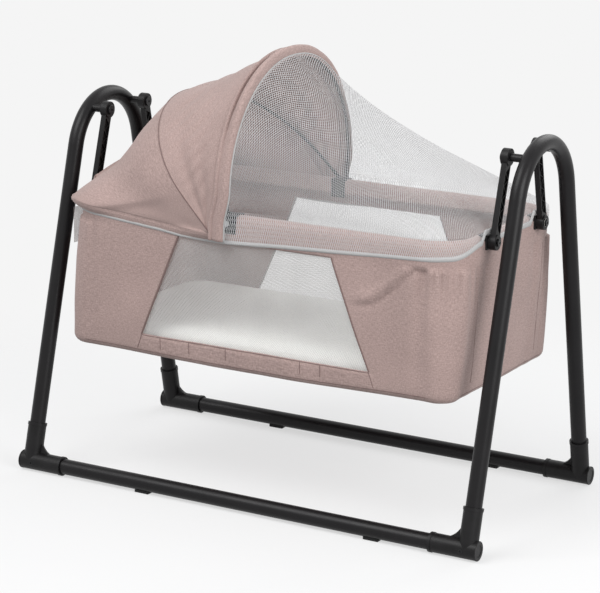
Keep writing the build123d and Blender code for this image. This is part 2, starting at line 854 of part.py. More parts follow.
def bow_lugs(angle, half_span, inner, boss_start, bow_start):
    """Moulded ends of one bow: an eye on the pin, a neck, a collar and a spigot inside the tube."""
    lean = math.radians(angle)
    upward = Vector(math.sin(lean), 0, math.cos(lean))
    eye_bore = hub_pin_diameter / 2 + hub_pin_gap
    with BuildPart() as lugs:
        for side in (near, far):
            bow_end = Vector(hub_place, side * half_span, hub_height) + upward * bow_start
            neck = Plane((hub_place, side * inner, hub_height), x_dir=upward, z_dir=(0, side, 0))
            with BuildSketch(neck):
                Circle(lug_radius)
                with Locations((bow_start / 2, 0)):
                    Rectangle(bow_start, lug_neck_width)
            extrude(amount=lug_thickness)
            if boss_start < inner:
                with BuildSketch(neck):
                    Circle(lug_neck_width / 2 + eye_bore / 2)
                extrude(amount=boss_start - inner)
            with BuildSketch(Plane(bow_end, z_dir=upward)):
                Circle(bow_diameter / 2 + lug_collar_rise)
            extrude(amount=-lug_collar_length)
            with BuildSketch(Plane(bow_end, z_dir=upward)):
                Circle(bow_diameter / 2 - bow_wall - spigot_gap)
            extrude(amount=lug_spigot_length)
            with BuildSketch(neck.offset(-cut_overrun)):
                Circle(eye_bore)
            extrude(amount=lug_thickness + 2 * cut_overrun, mode=Mode.SUBTRACT)
    return lugs


def arch_band(half_span, rise, corner, start, thickness):
    """Closed strip between an arch line and the same line drawn inward by a thickness."""
    with BuildLine() as outline:
        outer = arch(half_span, rise, corner, start)
        inner = arch(half_span - thickness, rise - thickness, corner - thickness, start)
        Line(outer @ 0, inner @ 0)
        Line(outer @ 1, inner @ 1)
    make_face(outline.edges())


def cloth_arch(bow_half_span, bow_rise, bow_corner, start, thickness):
    """Cloth strip that lies just outside a bow's tube."""
    proud = bow_diameter / 2 + soft_gap + thickness
    arch_band(bow_half_span + proud, bow_rise + proud, bow_corner + proud, start, thickness)


def front_plane(shift):
    """Plane across X through the hood's pivot axis, moved along X by a shift."""
    return Plane((hub_place + shift, 0, hub_height), x_dir=(0, 1, 0), z_dir=(1, 0, 0))


def front_arch(thickness):
    """Cloth strip round the front bow, from the foot of the panels."""
    cloth_arch(front_bow_half_width, front_bow_rise, front_bow_corner, panel_foot_rise, thickness)


def canopy_rear():
    """Hood cloth from the middle bow down to the head end of the rim, with slits over the brackets."""
    inset = -soft_gap - skirt_thickness
    rim_plane = Plane((hub_place, 0, rear_foot_height), x_dir=(0, 1, 0), z_dir=(0, 0, 1))
    reach = half_length - inset + hub_place
    with BuildPart() as panel:
        with BuildSketch(bow_plane(mid_bow_angle, -panel_gap)):
            cloth_arch(mid_bow_half_width, mid_bow_rise, mid_bow_corner, mid_start, canopy_thickness)
        with BuildSketch(rim_plane):
            arch_band(
                half_width - inset,
                reach,
                basket_corner_radius - inset,
                mid_foot_reach + rear_start_step,
                canopy_thickness,
            )
        loft(ruled=True)
        bracket_notches(skirt_foot_height, notch_top_height)
    return panel


def canopy_front():
    """Hood cloth from the middle bow to the front hem."""
    hem_plane = front_plane(-front_hem_back - panel_gap)
    with BuildPart() as panel:
        with BuildSketch(bow_plane(mid_bow_angle, panel_gap)):
            cloth_arch(mid_bow_half_width, mid_bow_rise, mid_bow_corner, mid_start, canopy_thickness)
        with BuildSketch(hem_plane):
            front_arch(canopy_thickness)
        loft(ruled=True)
    return panel


def front_hem():
    """Broad hem of the hood round the front bow."""
    with BuildPart() as hem:
        with BuildSketch(front_plane(-front_hem_back)):
            front_arch(canopy_thickness)
        extrude(amount=front_hem_back + front_hem_front)
    return hem


def net_edge():
    """White binding that joins the net to the front hem."""
    with BuildPart() as edge:
        with BuildSketch(front_plane(front_hem_front + panel_gap)):
            front_arch(canopy_thickness)
        extrude(amount=net_edge_width)
    return edge


def mosquito_net():
    """Fine net from the front bow down to the foot end of the rim, with a skirt that reaches the hem."""
    front_shift = front_hem_front + net_edge_width + 2 * panel_gap
    front_place = hub_place + front_shift
    rim_plane = Plane((front_place, 0, panel_foot_height), x_dir=(0, -1, 0), z_dir=(0, 0, 1))
    inset = -soft_gap - net_thickness
    start = hub_place + clip_width / 2 + clip_room
    with BuildPart() as net:
        with BuildSketch(front_plane(front_shift)):
            front_arch(net_thickness)
        with BuildSketch(rim_plane):
            arch_band(
                half_width - inset,
                half_length - inset - front_place,
                basket_corner_radius - inset,
                panel_start_step,
                net_thickness,
            )
        loft(ruled=True)
        foot_height = hem_height + hem_width + soft_gap
        add(wall_band(soft_gap, net_thickness, foot_height, panel_foot_height, foot, start).part)
        bracket_notches(foot_height - cut_overrun, notch_top_height)
    return net


os.makedirs("parts", exist_ok=True)

for end in (head, foot):
    save(end_frame(end, tube_radius, tube_radius - tube_wall), f"end_frame_{end_names[end]}")
    save(rim_tube(end), f"rim_tube_{end_names[end]}")
for side in (near, far):
    save(side_rail(side), f"side_rail_{side_names[side]}")
    save(window_net(side), f"window_net_{side_names[side]}")
    save(hood_clip(side), f"hood_clip_{side_names[side]}")
elbow_piece = elbow(head, near)
bracket_piece = hanger_bracket(head, near)
for end, side in corners:
    place = f"{end_names[end]}_{side_names[side]}"
    save(at_corner(elbow_piece, end, side), f"elbow_{place}")
    save(swing_arm(end, side), f"swing_arm_{place}")
    save(arm_bushes(end, side), f"arm_bushes_{place}")
    save(at_corner(bracket_piece, end, side), f"hanger_bracket_{place}")

save(end_caps(), "end_caps")
save(elbow_screws(), "elbow_screws")
save(floor_pads(), "floor_pads")
save(pivot_pins(), "pivot_pins")

upper_screws = socket_screws(
    half_upper,
    upper_pivot_height,
    arm_inner_plane - pivot_end_play,
    upper_head_diameter,
    -1,
    0,
    pivot_screw_depth,
)
save(upper_screws, "upper_pivot_screws")

boss_depth = arm_inner_plane - pivot_end_play - rim_half_length - rim_radius - soft_gap
lower_screws = socket_screws(
    half_lower,
    lower_pivot_height,
    arm_outer_plane + pivot_end_play,
    lower_head_diameter,
    1,
    arm_eye_thickness + 2 * pivot_end_play,
    boss_depth,
)
save(lower_screws, "lower_pivot_screws")

save(rim_joiners(), "rim_joiners")
save(basket_fabric(), "basket_fabric")
save(base_board(), "base_board")
save(mattress(), "mattress")
save(net_hem(), "net_hem")
save(head_flap(), "head_flap")
save(hood_skirt(), "hood_skirt")
save(hood_pins(), "hood_pins")

mid_inner, front_inner, pin_head_place = lug_places()
save(bow(mid_bow_angle, mid_bow_half_width, mid_bow_rise, mid_bow_corner, mid_bow_start), "mid_bow")
save(bow_lugs(mid_bow_angle, mid_bow_half_width, mid_inner, mid_inner, mid_bow_start), "mid_bow_lugs")
save(bow(0, front_bow_half_width, front_bow_rise, front_bow_corner, front_bow_start), "front_bow")
front_boss_start = mid_inner + lug_thickness + hub_gap
save(bow_lugs(0, front_bow_half_width, front_inner, front_boss_start, front_bow_start), "front_bow_lugs")
save(canopy_rear(), "canopy_rear")
save(canopy_front(), "canopy_front")
save(front_hem(), "front_hem")
save(net_edge(), "net_edge")
save(mosquito_net(), "mosquito_net")
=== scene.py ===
"""Dresses the rocking bedside crib: finishes for its stand and arms, and its cloth, nets and bedding."""

import logging
import math
from dataclasses import dataclass
from enum import Enum
from typing import Callable, Sequence

import bmesh
import bpy
from mathutils import Matrix, Vector, noise


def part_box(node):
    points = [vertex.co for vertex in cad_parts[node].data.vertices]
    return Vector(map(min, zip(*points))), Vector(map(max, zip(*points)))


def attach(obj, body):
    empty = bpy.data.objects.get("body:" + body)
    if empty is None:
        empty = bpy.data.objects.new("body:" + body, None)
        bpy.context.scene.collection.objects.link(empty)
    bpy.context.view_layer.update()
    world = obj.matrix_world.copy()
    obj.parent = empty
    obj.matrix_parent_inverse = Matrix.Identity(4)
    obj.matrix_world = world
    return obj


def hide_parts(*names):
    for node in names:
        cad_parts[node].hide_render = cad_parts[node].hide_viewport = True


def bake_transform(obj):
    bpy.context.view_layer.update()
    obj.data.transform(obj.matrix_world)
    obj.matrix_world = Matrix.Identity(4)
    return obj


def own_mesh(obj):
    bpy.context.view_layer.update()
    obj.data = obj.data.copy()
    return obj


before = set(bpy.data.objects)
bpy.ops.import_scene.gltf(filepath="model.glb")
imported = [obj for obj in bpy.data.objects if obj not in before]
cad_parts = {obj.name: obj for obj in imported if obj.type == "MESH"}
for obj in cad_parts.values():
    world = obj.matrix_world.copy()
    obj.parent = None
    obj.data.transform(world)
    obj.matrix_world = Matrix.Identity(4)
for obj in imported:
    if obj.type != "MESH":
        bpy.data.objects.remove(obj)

log = logging.getLogger("crib")

Triple = tuple[float, float, float]
Colour = Triple
Pair = tuple[float, float]
Rows = list[list[Vector]]
Sheet = tuple[bpy.types.Object, float, Pair]

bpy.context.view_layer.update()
SEAM_ALLOWANCE = 0.012
HARD_EDGE_DEGREES = 35.0


class Side(Enum):
    """Long sides of the crib, valued as the sign of Y."""

    NEAR = -1
    FAR = 1


class End(Enum):
    """Short ends of the crib, valued as the sign of X."""

    HEAD = -1
    FOOT = 1


class Weave(Enum):
    """Kinds of cloth, valued as the width of a lump in a thread over its length."""

    LINEN = 0.22
    TAPE = 0.5
    COTTON = 0.25


def fade(low: float, high: float, value: float) -> float:
    """Gives a smooth rise from 0 to 1.

    Args:
        low: Value at which the rise starts.
        high: Value at which it ends; below low the rise runs the other way.
        value: Where to read it.

    Returns:
        The share, from 0 to 1.
    """
    share = min(1.0, max(0.0, (value - low) / (high - low)))
    return share * share * (3 - 2 * share)


def hump(value: float, centre: float, width: float) -> float:
    """Gives a bell of height 1 round a centre."""
    return math.exp(-(((value - centre) / width) ** 2))


def arch(share: float) -> float:
    """Gives 0 at both ends of a span and 1 in its middle."""
    return math.sin(math.pi * share)


def in_parts(share: float) -> Triple:
    """Splits the way up one half of an arch into its upright, its shoulder and its top.

    Args:
        share: Place along the whole arch, from 0 on the near side to 1 on the far side.

    Returns:
        The share of each of the three that lies behind the place.
    """
    shoulder, top = 0.16, 0.88
    way = 2 * min(share, 1 - share)
    parts = ((0.0, shoulder), (shoulder, top), (top, 1.0))
    return tuple(min(1.0, max(0.0, (way - start) / (stop - start))) for start, stop in parts)


def through(table: Sequence[Pair], value: float) -> float:
    """Reads a table of pairs along straight lines between them.

    Args:
        table: Pairs of place and level, in rising order of place.
        value: Place to read.

    Returns:
        The level there.
    """
    if value <= table[0][0]:
        return table[0][1]
    for (left, low), (right, high) in zip(table, table[1:]):
        if value <= right:
            return low + (high - low) * (value - left) / (right - left)
    return table[-1][1]


def distances(points: list[Vector]) -> list[float]:
    """Sums the distances along a line of points, from 0 at the first."""
    sums = [0.0]
    for before, after in zip(points, points[1:]):
        sums.append(sums[-1] + (after - before).length)
    return sums


@dataclass(frozen=True)
class Ripple:
    """Soft unevenness of a surface, the same at each run.

    Attributes:
        height: Height of the swells, in metres or as a share.
        grain: Size of the swells, in metres.
        layer: Number that tells one unevenness from another.
    """

    height: float
    grain: float
    layer: float

    def at(self, point: Vector) -> float:
        """Gives the swell at a point, from about -height to height."""
        return self.height * noise.noise(point / self.grain + Vector((1, 2, 3)) * self.layer)


def select_only(item: bpy.types.Object | None) -> None:
    """Makes one object the selected and active one, or clears the selection."""
    for other in bpy.context.selected_objects:
        other.select_set(False)
    if item:
        item.select_set(True)
        bpy.context.view_layer.objects.active = item


def finish_modifier(item: bpy.types.Object, kind: str, **settings: object) -> None:
    """Adds a modifier, sets it and applies it.

    Args:
        item: Object that gets it.
        kind: Blender's name of the modifier's type.
        settings: Values set on the modifier.
    """
    modifier = item.modifiers.new(kind.title(), kind)
    for key, value in settings.items():
        setattr(modifier, key, value)
    select_only(item)
    bpy.ops.object.modifier_apply(modifier=modifier.name)


def new_piece(name: str, data: bpy.types.ID) -> bpy.types.Object:
    """Puts a mesh, a curve, a camera or a lamp in the scene as an object."""
    item = bpy.data.objects.new(name, data)
    bpy.context.scene.collection.objects.link(item)
    return item


def smooth_faces(item: bpy.types.Object) -> None:
    """Shades every face of an object smooth."""
    for face in item.data.polygons:
        face.use_smooth = True


def unwrap(item: bpy.types.Object, across: Triple, along: Triple) -> None:
    """Maps a mesh by its places, so that a cloth finish reads metres on it.

    Args:
        item: Object that is mapped.
        across: How much each axis adds to the map's first direction.
        along: How much each axis adds to its second direction.
    """
    layer = item.data.uv_layers.new(name="cloth") if not item.data.uv_layers else item.data.uv_layers[0]
    for loop in item.data.loops:
        place = item.data.vertices[loop.vertex_index].co
        layer.data[loop.index].uv = (place.dot(Vector(across)), place.dot(Vector(along)))


class Graph:
    """The nodes of a material or a world, and short ways to add and join them."""

    def __init__(self, owner: bpy.types.ID, output: str) -> None:
        """Empties the owner's node tree and adds its output node."""
        owner.use_nodes = True
        self.owner = owner
        self.nodes = owner.node_tree.nodes
        self.links = owner.node_tree.links
        self.nodes.clear()
        self.output = self.nodes.new("ShaderNode" + output)

    @classmethod
    def of_material(cls, name: str) -> "Graph":
        """Starts a new material."""
        return cls(bpy.data.materials.new(name), "OutputMaterial")

    def finish(self, shader: bpy.types.Node) -> bpy.types.ID:
        """Joins a shader to the output and gives the material or world."""
        self.join(shader.outputs[0], self.output.inputs["Surface"])
        return self.owner

    def add(self, kind: str, **inputs: object) -> bpy.types.Node:
        """Adds a node.

        Args:
            kind: Type of the node, without its ShaderNode prefix.
            inputs: Values for sockets, or for properties where no socket has that name.

        Returns:
            The new node.
        """
        node = self.nodes.new("ShaderNode" + kind)
        for key, value in inputs.items():
            words = key.replace("_", " ")
            socket = next((s for s in node.inputs if s.name.lower() == words.lower()), None)
            if socket is None or hasattr(type(node), key):
                setattr(node, key, value)
            else:
                socket.default_value = value
        return node

    def join(self, source: bpy.types.NodeSocket, target: bpy.types.NodeSocket) -> None:
        """Links one socket to another."""
        self.links.new(source, target)

    def mixed(self, share: object, first: bpy.types.Node, second: bpy.types.Node) -> bpy.types.Node:
        """Mixes two shaders by a socket's value and gives the mixing node."""
        node = self.add("MixShader")
        self.join(share, node.inputs[0])
        self.join(first.outputs[0], node.inputs[1])
        self.join(second.outputs[0], node.inputs[2])
        return node

    def maths(self, operation: str, *values: object) -> bpy.types.NodeSocket:
        """Adds a sum.

        Args:
            operation: Blender's name of the sum.
            values: Sockets or numbers.

        Returns:
            The result's socket.
        """
        node = self.add("Math", operation=operation)
        for socket, value in zip(node.inputs, values):
            if isinstance(value, bpy.types.NodeSocket):
                self.join(value, socket)
            else:
                socket.default_value = value
        return node.outputs[0]

    def any_ray(self, *kinds: str) -> bpy.types.NodeSocket:
        """Tells whether a ray is of one of the kinds named."""
        rays = self.add("LightPath")
        found = rays.outputs[kinds[0]]
        for kind in kinds[1:]:
            found = self.maths("MAXIMUM", found, rays.outputs[kind])
        return found

    def mapped(self, source: str, scale: Triple = (1.0, 1.0, 1.0)) -> bpy.types.NodeSocket:
        """Gives Object or UV coordinates in metres, times a scale along each axis."""
        coordinates = self.add("TexCoord")
        mapping = self.add("Mapping", Scale=scale)
        self.join(coordinates.outputs[source], mapping.inputs["Vector"])
        return mapping.outputs["Vector"]

    def noise(self, vector: bpy.types.NodeSocket, scale: float, detail: float) -> bpy.types.NodeSocket:
        """Adds noise read at a vector and gives its value's socket."""
        node = self.add("TexNoise", Scale=scale, Detail=detail)
        self.join(vector, node.inputs["Vector"])
        return node.outputs["Fac"]

    def toned(
        self,
        value: bpy.types.NodeSocket,
        colour: Colour,
        stops: Sequence[Pair],
    ) -> bpy.types.NodeSocket:
        """Turns a value into lighter and darker tones of a colour.

        Args:
            value: Socket to read.
            colour: The colour that is lightened or darkened.
            stops: Pairs of the value and the factor of the colour there.

        Returns:
            The tone's socket.
        """
        node = self.add("ValToRGB")
        elements = node.color_ramp.elements
        while len(elements) < len(stops):
            elements.new(0.5)
        for element, (place, factor) in zip(elements, stops):
            element.position = place
            element.color = (*(min(1.0, channel * factor) for channel in colour), 1.0)
        self.join(value, node.inputs["Fac"])
        return node.outputs["Color"]

    def bumped(self, height: bpy.types.NodeSocket, distance: float, strength: float) -> bpy.types.NodeSocket:
        """Turns a height into a normal, with a distance in metres."""
        node = self.add("Bump", Distance=distance, Strength=strength)
        self.join(height, node.inputs["Height"])
        return node.outputs["Normal"]


@dataclass(frozen=True)
class Skin:
    """How a hard surface varies: clouds in its colour, smudges in its gloss and its fine grain."""

    cloud_scale: float
    cloud_stops: tuple[Pair, Pair]
    smudge_scale: float
    smudge_detail: float
    smudge_spread: float
    grain_scale: float
    grain_detail: float
    grain_depth: float
    cloud_detail: float = 4.0


POWDER_COAT = Skin(14.0, ((0.3, 0.82), (0.7, 1.2)), 30.0, 3.0, 0.16, 900.0, 2.0, 0.0003)
SPARK_GRAIN = Skin(45.0, ((0.35, 0.8), (0.65, 1.25)), 45.0, 4.0, 0.2, 1600.0, 3.0, 0.0002)


@dataclass(frozen=True)
class HardFinish:
    """Powder coat on steel, or moulded plastic or rubber with a fine spark grain."""

    name: str
    colour: Colour
    roughness: float
    skin: Skin
    grain: float
    metallic: float = 0.0
    gloss: float = 0.22

    def material(self) -> bpy.types.Material:
        """Makes the material."""
        skin = self.skin
        graph = Graph.of_material(self.name)
        shader = graph.add("BsdfPrincipled", Metallic=self.metallic, Specular_IOR_Level=self.gloss)
        place = graph.mapped("Object")
        cloud = graph.noise(place, skin.cloud_scale, skin.cloud_detail)
        graph.join(graph.toned(cloud, self.colour, skin.cloud_stops), shader.inputs["Base Color"])
        smudge = graph.noise(place, skin.smudge_scale, skin.smudge_detail)
        dullest = self.roughness - skin.smudge_spread / 2
        roughness = graph.maths("MULTIPLY_ADD", smudge, skin.smudge_spread, dullest)
        graph.join(roughness, shader.inputs["Roughness"])
        grain = graph.noise(place, skin.grain_scale, skin.grain_detail)
        graph.join(graph.bumped(grain, skin.grain_depth, self.grain), shader.inputs["Normal"])
        return graph.finish(shader)


@dataclass(frozen=True)
class ClothFinish:
    """Woven cloth, with its threads along the piece's own UV map in metres."""

    name: str
    colour: Colour
    weave: Weave
    thread: float
    contrast: float
    roughness: float = 0.9
    sheen: float = 0.15
    sheen_roughness: float = 0.5
    gloss: float = 0.25
    thread_noise: Pair = (0.6, 3.0)
    weft_stretch: float = 1.8
    thread_part: float = 0.36
    fleck_noise: Pair = (0.45, 2.0)
    fleck_part: float = 0.28
    cloud_noise: Pair = (9.0, 3.0)
    cloud_part: float = 0.16
    tone_spread: float = 0.16
    bump: float = 0.5

    def material(self) -> bpy.types.Material:
        """Makes the material."""
        graph = Graph.of_material(self.name)
        shader = graph.add(
            "BsdfPrincipled",
            Roughness=self.roughness,
            Sheen_Weight=self.sheen,
            Sheen_Roughness=self.sheen_roughness,
            Specular_IOR_Level=self.gloss,
        )
        count = 1.0 / self.thread
        lumps = count * self.weave.value
        warp = graph.noise(graph.mapped("UV", (lumps, count, 1.0)), *self.thread_noise)
        weft = graph.noise(graph.mapped("UV", (count, lumps * self.weft_stretch, 1.0)), *self.thread_noise)
        fleck = graph.noise(graph.mapped("UV", (count, count, 1.0)), *self.fleck_noise)
        cloud = graph.noise(graph.mapped("Object"), *self.cloud_noise)
        threads = graph.maths("MULTIPLY", graph.maths("ADD", warp, weft), self.thread_part)
        weave = graph.maths("ADD", threads, graph.maths("MULTIPLY", fleck, self.fleck_part))
        shade = graph.maths("MULTIPLY", graph.maths("SUBTRACT", cloud, 0.5), self.cloud_part)
        stops = [(0.5 + self.tone_spread * step, 1.0 + self.contrast * step) for step in (-1, 0, 1)]
        tone = graph.toned(graph.maths("ADD", weave, shade), self.colour, stops)
        graph.join(tone, shader.inputs["Base Color"])
        graph.join(graph.bumped(weave, self.thread / 2, self.bump), shader.inputs["Normal"])
        return graph.finish(shader)


@dataclass(frozen=True)
class NetFinish:
    """Knitted net, open between its threads, which pass most of the light that they catch.

    Attributes:
        name: Name of the material.
        colour: Colour of the thread.
        pitch: Distance from one thread to the next, in metres.
        thread_part: Share of the pitch that a thread takes.
        glow: Share of the scattered light that a thread lets through.
    """

    name: str
    colour: Colour
    pitch: float
    thread_part: float
    glow: float = 0.85
    roughness: float = 0.75
    sheen: float = 0.1
    gloss: float = 0.3
    slant: float = 1.3
    wave_noise: Pair = (40.0, 1.0)
    wave_part: float = 0.25
    shade_noise: Pair = (25.0, 2.0)
    shade_stops: tuple[Pair, Pair] = ((0.3, 0.94), (0.7, 1.05))
    fibre_noise: Pair = (2500.0, 2.0)
    fibre_depth: float = 0.0001
    fibre_bump: float = 0.12

    def material(self) -> bpy.types.Material:
        """Makes the material, with openings cut by its alpha."""
        graph = Graph.of_material(self.name)
        shader = graph.add(
            "BsdfPrincipled",
            Roughness=self.roughness,
            Sheen_Weight=self.sheen,
            Specular_IOR_Level=self.gloss,
        )
        place = graph.mapped("UV")
        axes = graph.add("SeparateXYZ")
        graph.join(place, axes.inputs[0])
        wave = graph.maths("SUBTRACT", graph.noise(place, *self.wave_noise), 0.5)
        drift = graph.maths("MULTIPLY", wave, self.pitch * self.wave_part)
        along = graph.maths("ADD", axes.outputs[0], drift)
        strands = []
        for operation in ("ADD", "SUBTRACT"):
            line = graph.maths(operation, graph.maths("MULTIPLY", along, self.slant), axes.outputs[1])
            away = graph.maths("PINGPONG", line, self.pitch / 2)
            strands.append(graph.maths("LESS_THAN", away, self.pitch * self.thread_part / 2))
        scattered = graph.any_ray("Is Shadow Ray", "Is Diffuse Ray")
        held_back = graph.maths("SUBTRACT", 1.0, graph.maths("MULTIPLY", scattered, self.glow))
        cover = graph.maths("MULTIPLY", graph.maths("MAXIMUM", *strands), held_back)
        graph.join(cover, shader.inputs["Alpha"])
        shade = graph.noise(graph.mapped("Object"), *self.shade_noise)
        graph.join(graph.toned(shade, self.colour, self.shade_stops), shader.inputs["Base Color"])
        fibre = graph.noise(place, *self.fibre_noise)
        graph.join(graph.bumped(fibre, self.fibre_depth, self.fibre_bump), shader.inputs["Normal"])
        return graph.finish(shader)


@dataclass(frozen=True)
class Palette:
    """Every finish of the crib."""

    tube: HardFinish = HardFinish("satin_black_tube", (0.0075, 0.0068, 0.0075), 0.36, POWDER_COAT, 0.14)
    screw: HardFinish = HardFinish("black_screw", (0.02, 0.02, 0.021), 0.32, POWDER_COAT, 0.1, 0.6, 0.5)
    steel: HardFinish = HardFinish("zinc_steel", (0.45, 0.45, 0.46), 0.3, POWDER_COAT, 0.12, 1.0)
    moulding: HardFinish = HardFinish("black_moulding", (0.0075, 0.007, 0.0075), 0.42, SPARK_GRAIN, 0.35)
    rubber: HardFinish = HardFinish("black_rubber", (0.02, 0.02, 0.02), 0.75, SPARK_GRAIN, 0.6)
    bush: HardFinish = HardFinish("pale_bush", (0.6, 0.59, 0.55), 0.4, SPARK_GRAIN, 0.2)
    board: HardFinish = HardFinish("fibre_board", (0.42, 0.32, 0.22), 0.8, SPARK_GRAIN, 0.6)
    linen: ClothFinish = ClothFinish("linen_blend", (0.385, 0.280, 0.257), Weave.LINEN, 0.0013, 0.3)
    piping: ClothFinish = ClothFinish("seam_piping", (0.19, 0.128, 0.118), Weave.LINEN, 0.0012, 0.15)
    # The white tape's colour is set below white to stand in for the shadow on the narrow tape: painted shade
    # on a white tape.
    binding_painted_shade: ClothFinish = ClothFinish("white_binding", (0.43, 0.425, 0.42), Weave.TAPE, 0.001, 0.14)
    cotton: ClothFinish = ClothFinish("white_cotton", (0.86, 0.86, 0.82), Weave.COTTON, 0.001, 0.06)
    net: NetFinish = NetFinish("fine_net", (0.54, 0.54, 0.545), 0.0054, 0.19)
    flap: NetFinish = NetFinish("doubled_net", (0.50, 0.505, 0.51), 0.0040, 0.42)
    window: NetFinish = NetFinish("window_net", (0.62, 0.61, 0.60), 0.0050, 0.25)


class Wardrobe:
    """Makes each finish once and puts it on pieces."""

    def __init__(self) -> None:
        """Starts with no material made."""
        self.palette = Palette()
        self.made: dict[str, bpy.types.Material] = {}

    def dress(self, item: bpy.types.Object, finish: HardFinish | ClothFinish | NetFinish) -> None:
        """Leaves a piece with one finish all over."""
        if finish.name not in self.made:
            self.made[finish.name] = finish.material()
        item.data.materials.clear()
        item.data.materials.append(self.made[finish.name])
        log.info("finished %s", item.name)

    def dress_nodes(self, finish: HardFinish, *names: str) -> None:
        """Puts a finish on nodes of the frame by name and smooths them but for their hard edges."""
        for name in names:
            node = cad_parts[name]
            self.dress(node, finish)
            select_only(node)
            bpy.ops.object.shade_smooth_by_angle(angle=math.radians(HARD_EDGE_DEGREES))


@dataclass
class ClothGrid:
    """Rows of points that are joined into one cloth.

    Attributes:
        name: Name of the piece.
        rows: Rows of points, each as long as the others.
        closed: Whether the last column joins the first.
        is_open: Tells which faces are left open, by row and column.
    """

    name: str
    rows: Rows
    closed: bool = False
    is_open: Callable[[int, int], bool] | None = None

    def build(self, thickness: float, offset: float = 0.0) -> Sheet:
        """Makes the mesh, maps it and gives it its thickness.

        Args:
            thickness: Thickness of the cloth in metres; a net has none.
            offset: Side on which the thickness is added, from -1 to 1, with 0 for both.

        Returns:
            The object, the flat area of the cloth and the rectangle that it is cut from.
        """
        width = len(self.rows[0])
        across, down = self._map_lengths()
        body = bmesh.new()
        layer = body.loops.layers.uv.new("cloth")
        points = [[body.verts.new(point) for point in row] for row in self.rows]
        for i in range(len(self.rows) - 1):
            for j in range(width if self.closed else width - 1):
                if self.is_open and self.is_open(i, j):
                    continue
                corners = [(i, j), (i, j + 1), (i + 1, j + 1), (i + 1, j)]
                face = body.faces.new([points[row][column % width] for row, column in corners])
                for loop, (row, column) in zip(face.loops, corners):
                    loop[layer].uv = (across[column], down[row])
        loose = [vert for vert in body.verts if not vert.link_faces]
        bmesh.ops.delete(body, geom=loose, context="VERTS")
        mesh = bpy.data.meshes.new(self.name)
        body.to_mesh(mesh)
        body.free()
        item = new_piece(self.name, mesh)
        area = sum(face.area for face in mesh.polygons)
        if thickness > 0:
            finish_modifier(item, "SOLIDIFY", thickness=thickness, offset=offset)
        smooth_faces(item)
        return item, area, self._cut_size()

    def _map_lengths(self) -> tuple[list[float], list[float]]:
        """Measures the longest row and the middle column, for the map."""
        across = [distances(row + [row[0]] if self.closed else row) for row in self.rows]
        middle = len(self.rows[0]) // 2
        return max(across, key=lambda sums: sums[-1]), distances([row[middle] for row in self.rows])

    def _cut_size(self) -> Pair:
        """Gives the flat rectangle that the sheet is cut from, with its seam allowance."""
        width = max(distances(row)[-1] for row in self.rows)
        length = max(distances(list(column))[-1] for column in zip(*self.rows))
        return width + 2 * SEAM_ALLOWANCE, length + 2 * SEAM_ALLOWANCE


def cord_mesh(name: str, lines: Rows, radius: float, sides: int = 8) -> bpy.types.Object:
    """Makes thin round cords, such as piping and seam threads, as one mesh.

    Args:
        name: Name of the piece.
        lines: Points of each cord.
        radius: Radius in metres.
        sides: Points round each cord.

    Returns:
        The new object.
    """
    curve = bpy.data.curves.new(name, "CURVE")
    curve.dimensions = "3D"
    curve.bevel_depth = radius
    curve.bevel_resolution = max(0, sides // 4 - 1)
    curve.use_fill_caps = True
    curve.resolution_u = 3
    for points in lines:
        spline = curve.splines.new("NURBS")
        spline.points.add(len(points) - 1)
        for place, point in zip(spline.points, points):
            place.co = (*point, 1.0)
        spline.order_u = 3
        spline.use_endpoint_u = True
    holder = new_piece(name + "_line", curve)
    bpy.context.view_layer.update()
    evaluated = holder.evaluated_get(bpy.context.evaluated_depsgraph_get())
    mesh = bpy.data.meshes.new_from_object(evaluated)
    mesh.name = name
    bpy.data.objects.remove(holder)
    item = new_piece(name, mesh)
    smooth_faces(item)
    unwrap(item, (1, 1, 0), (0, 0, 1))
    return item


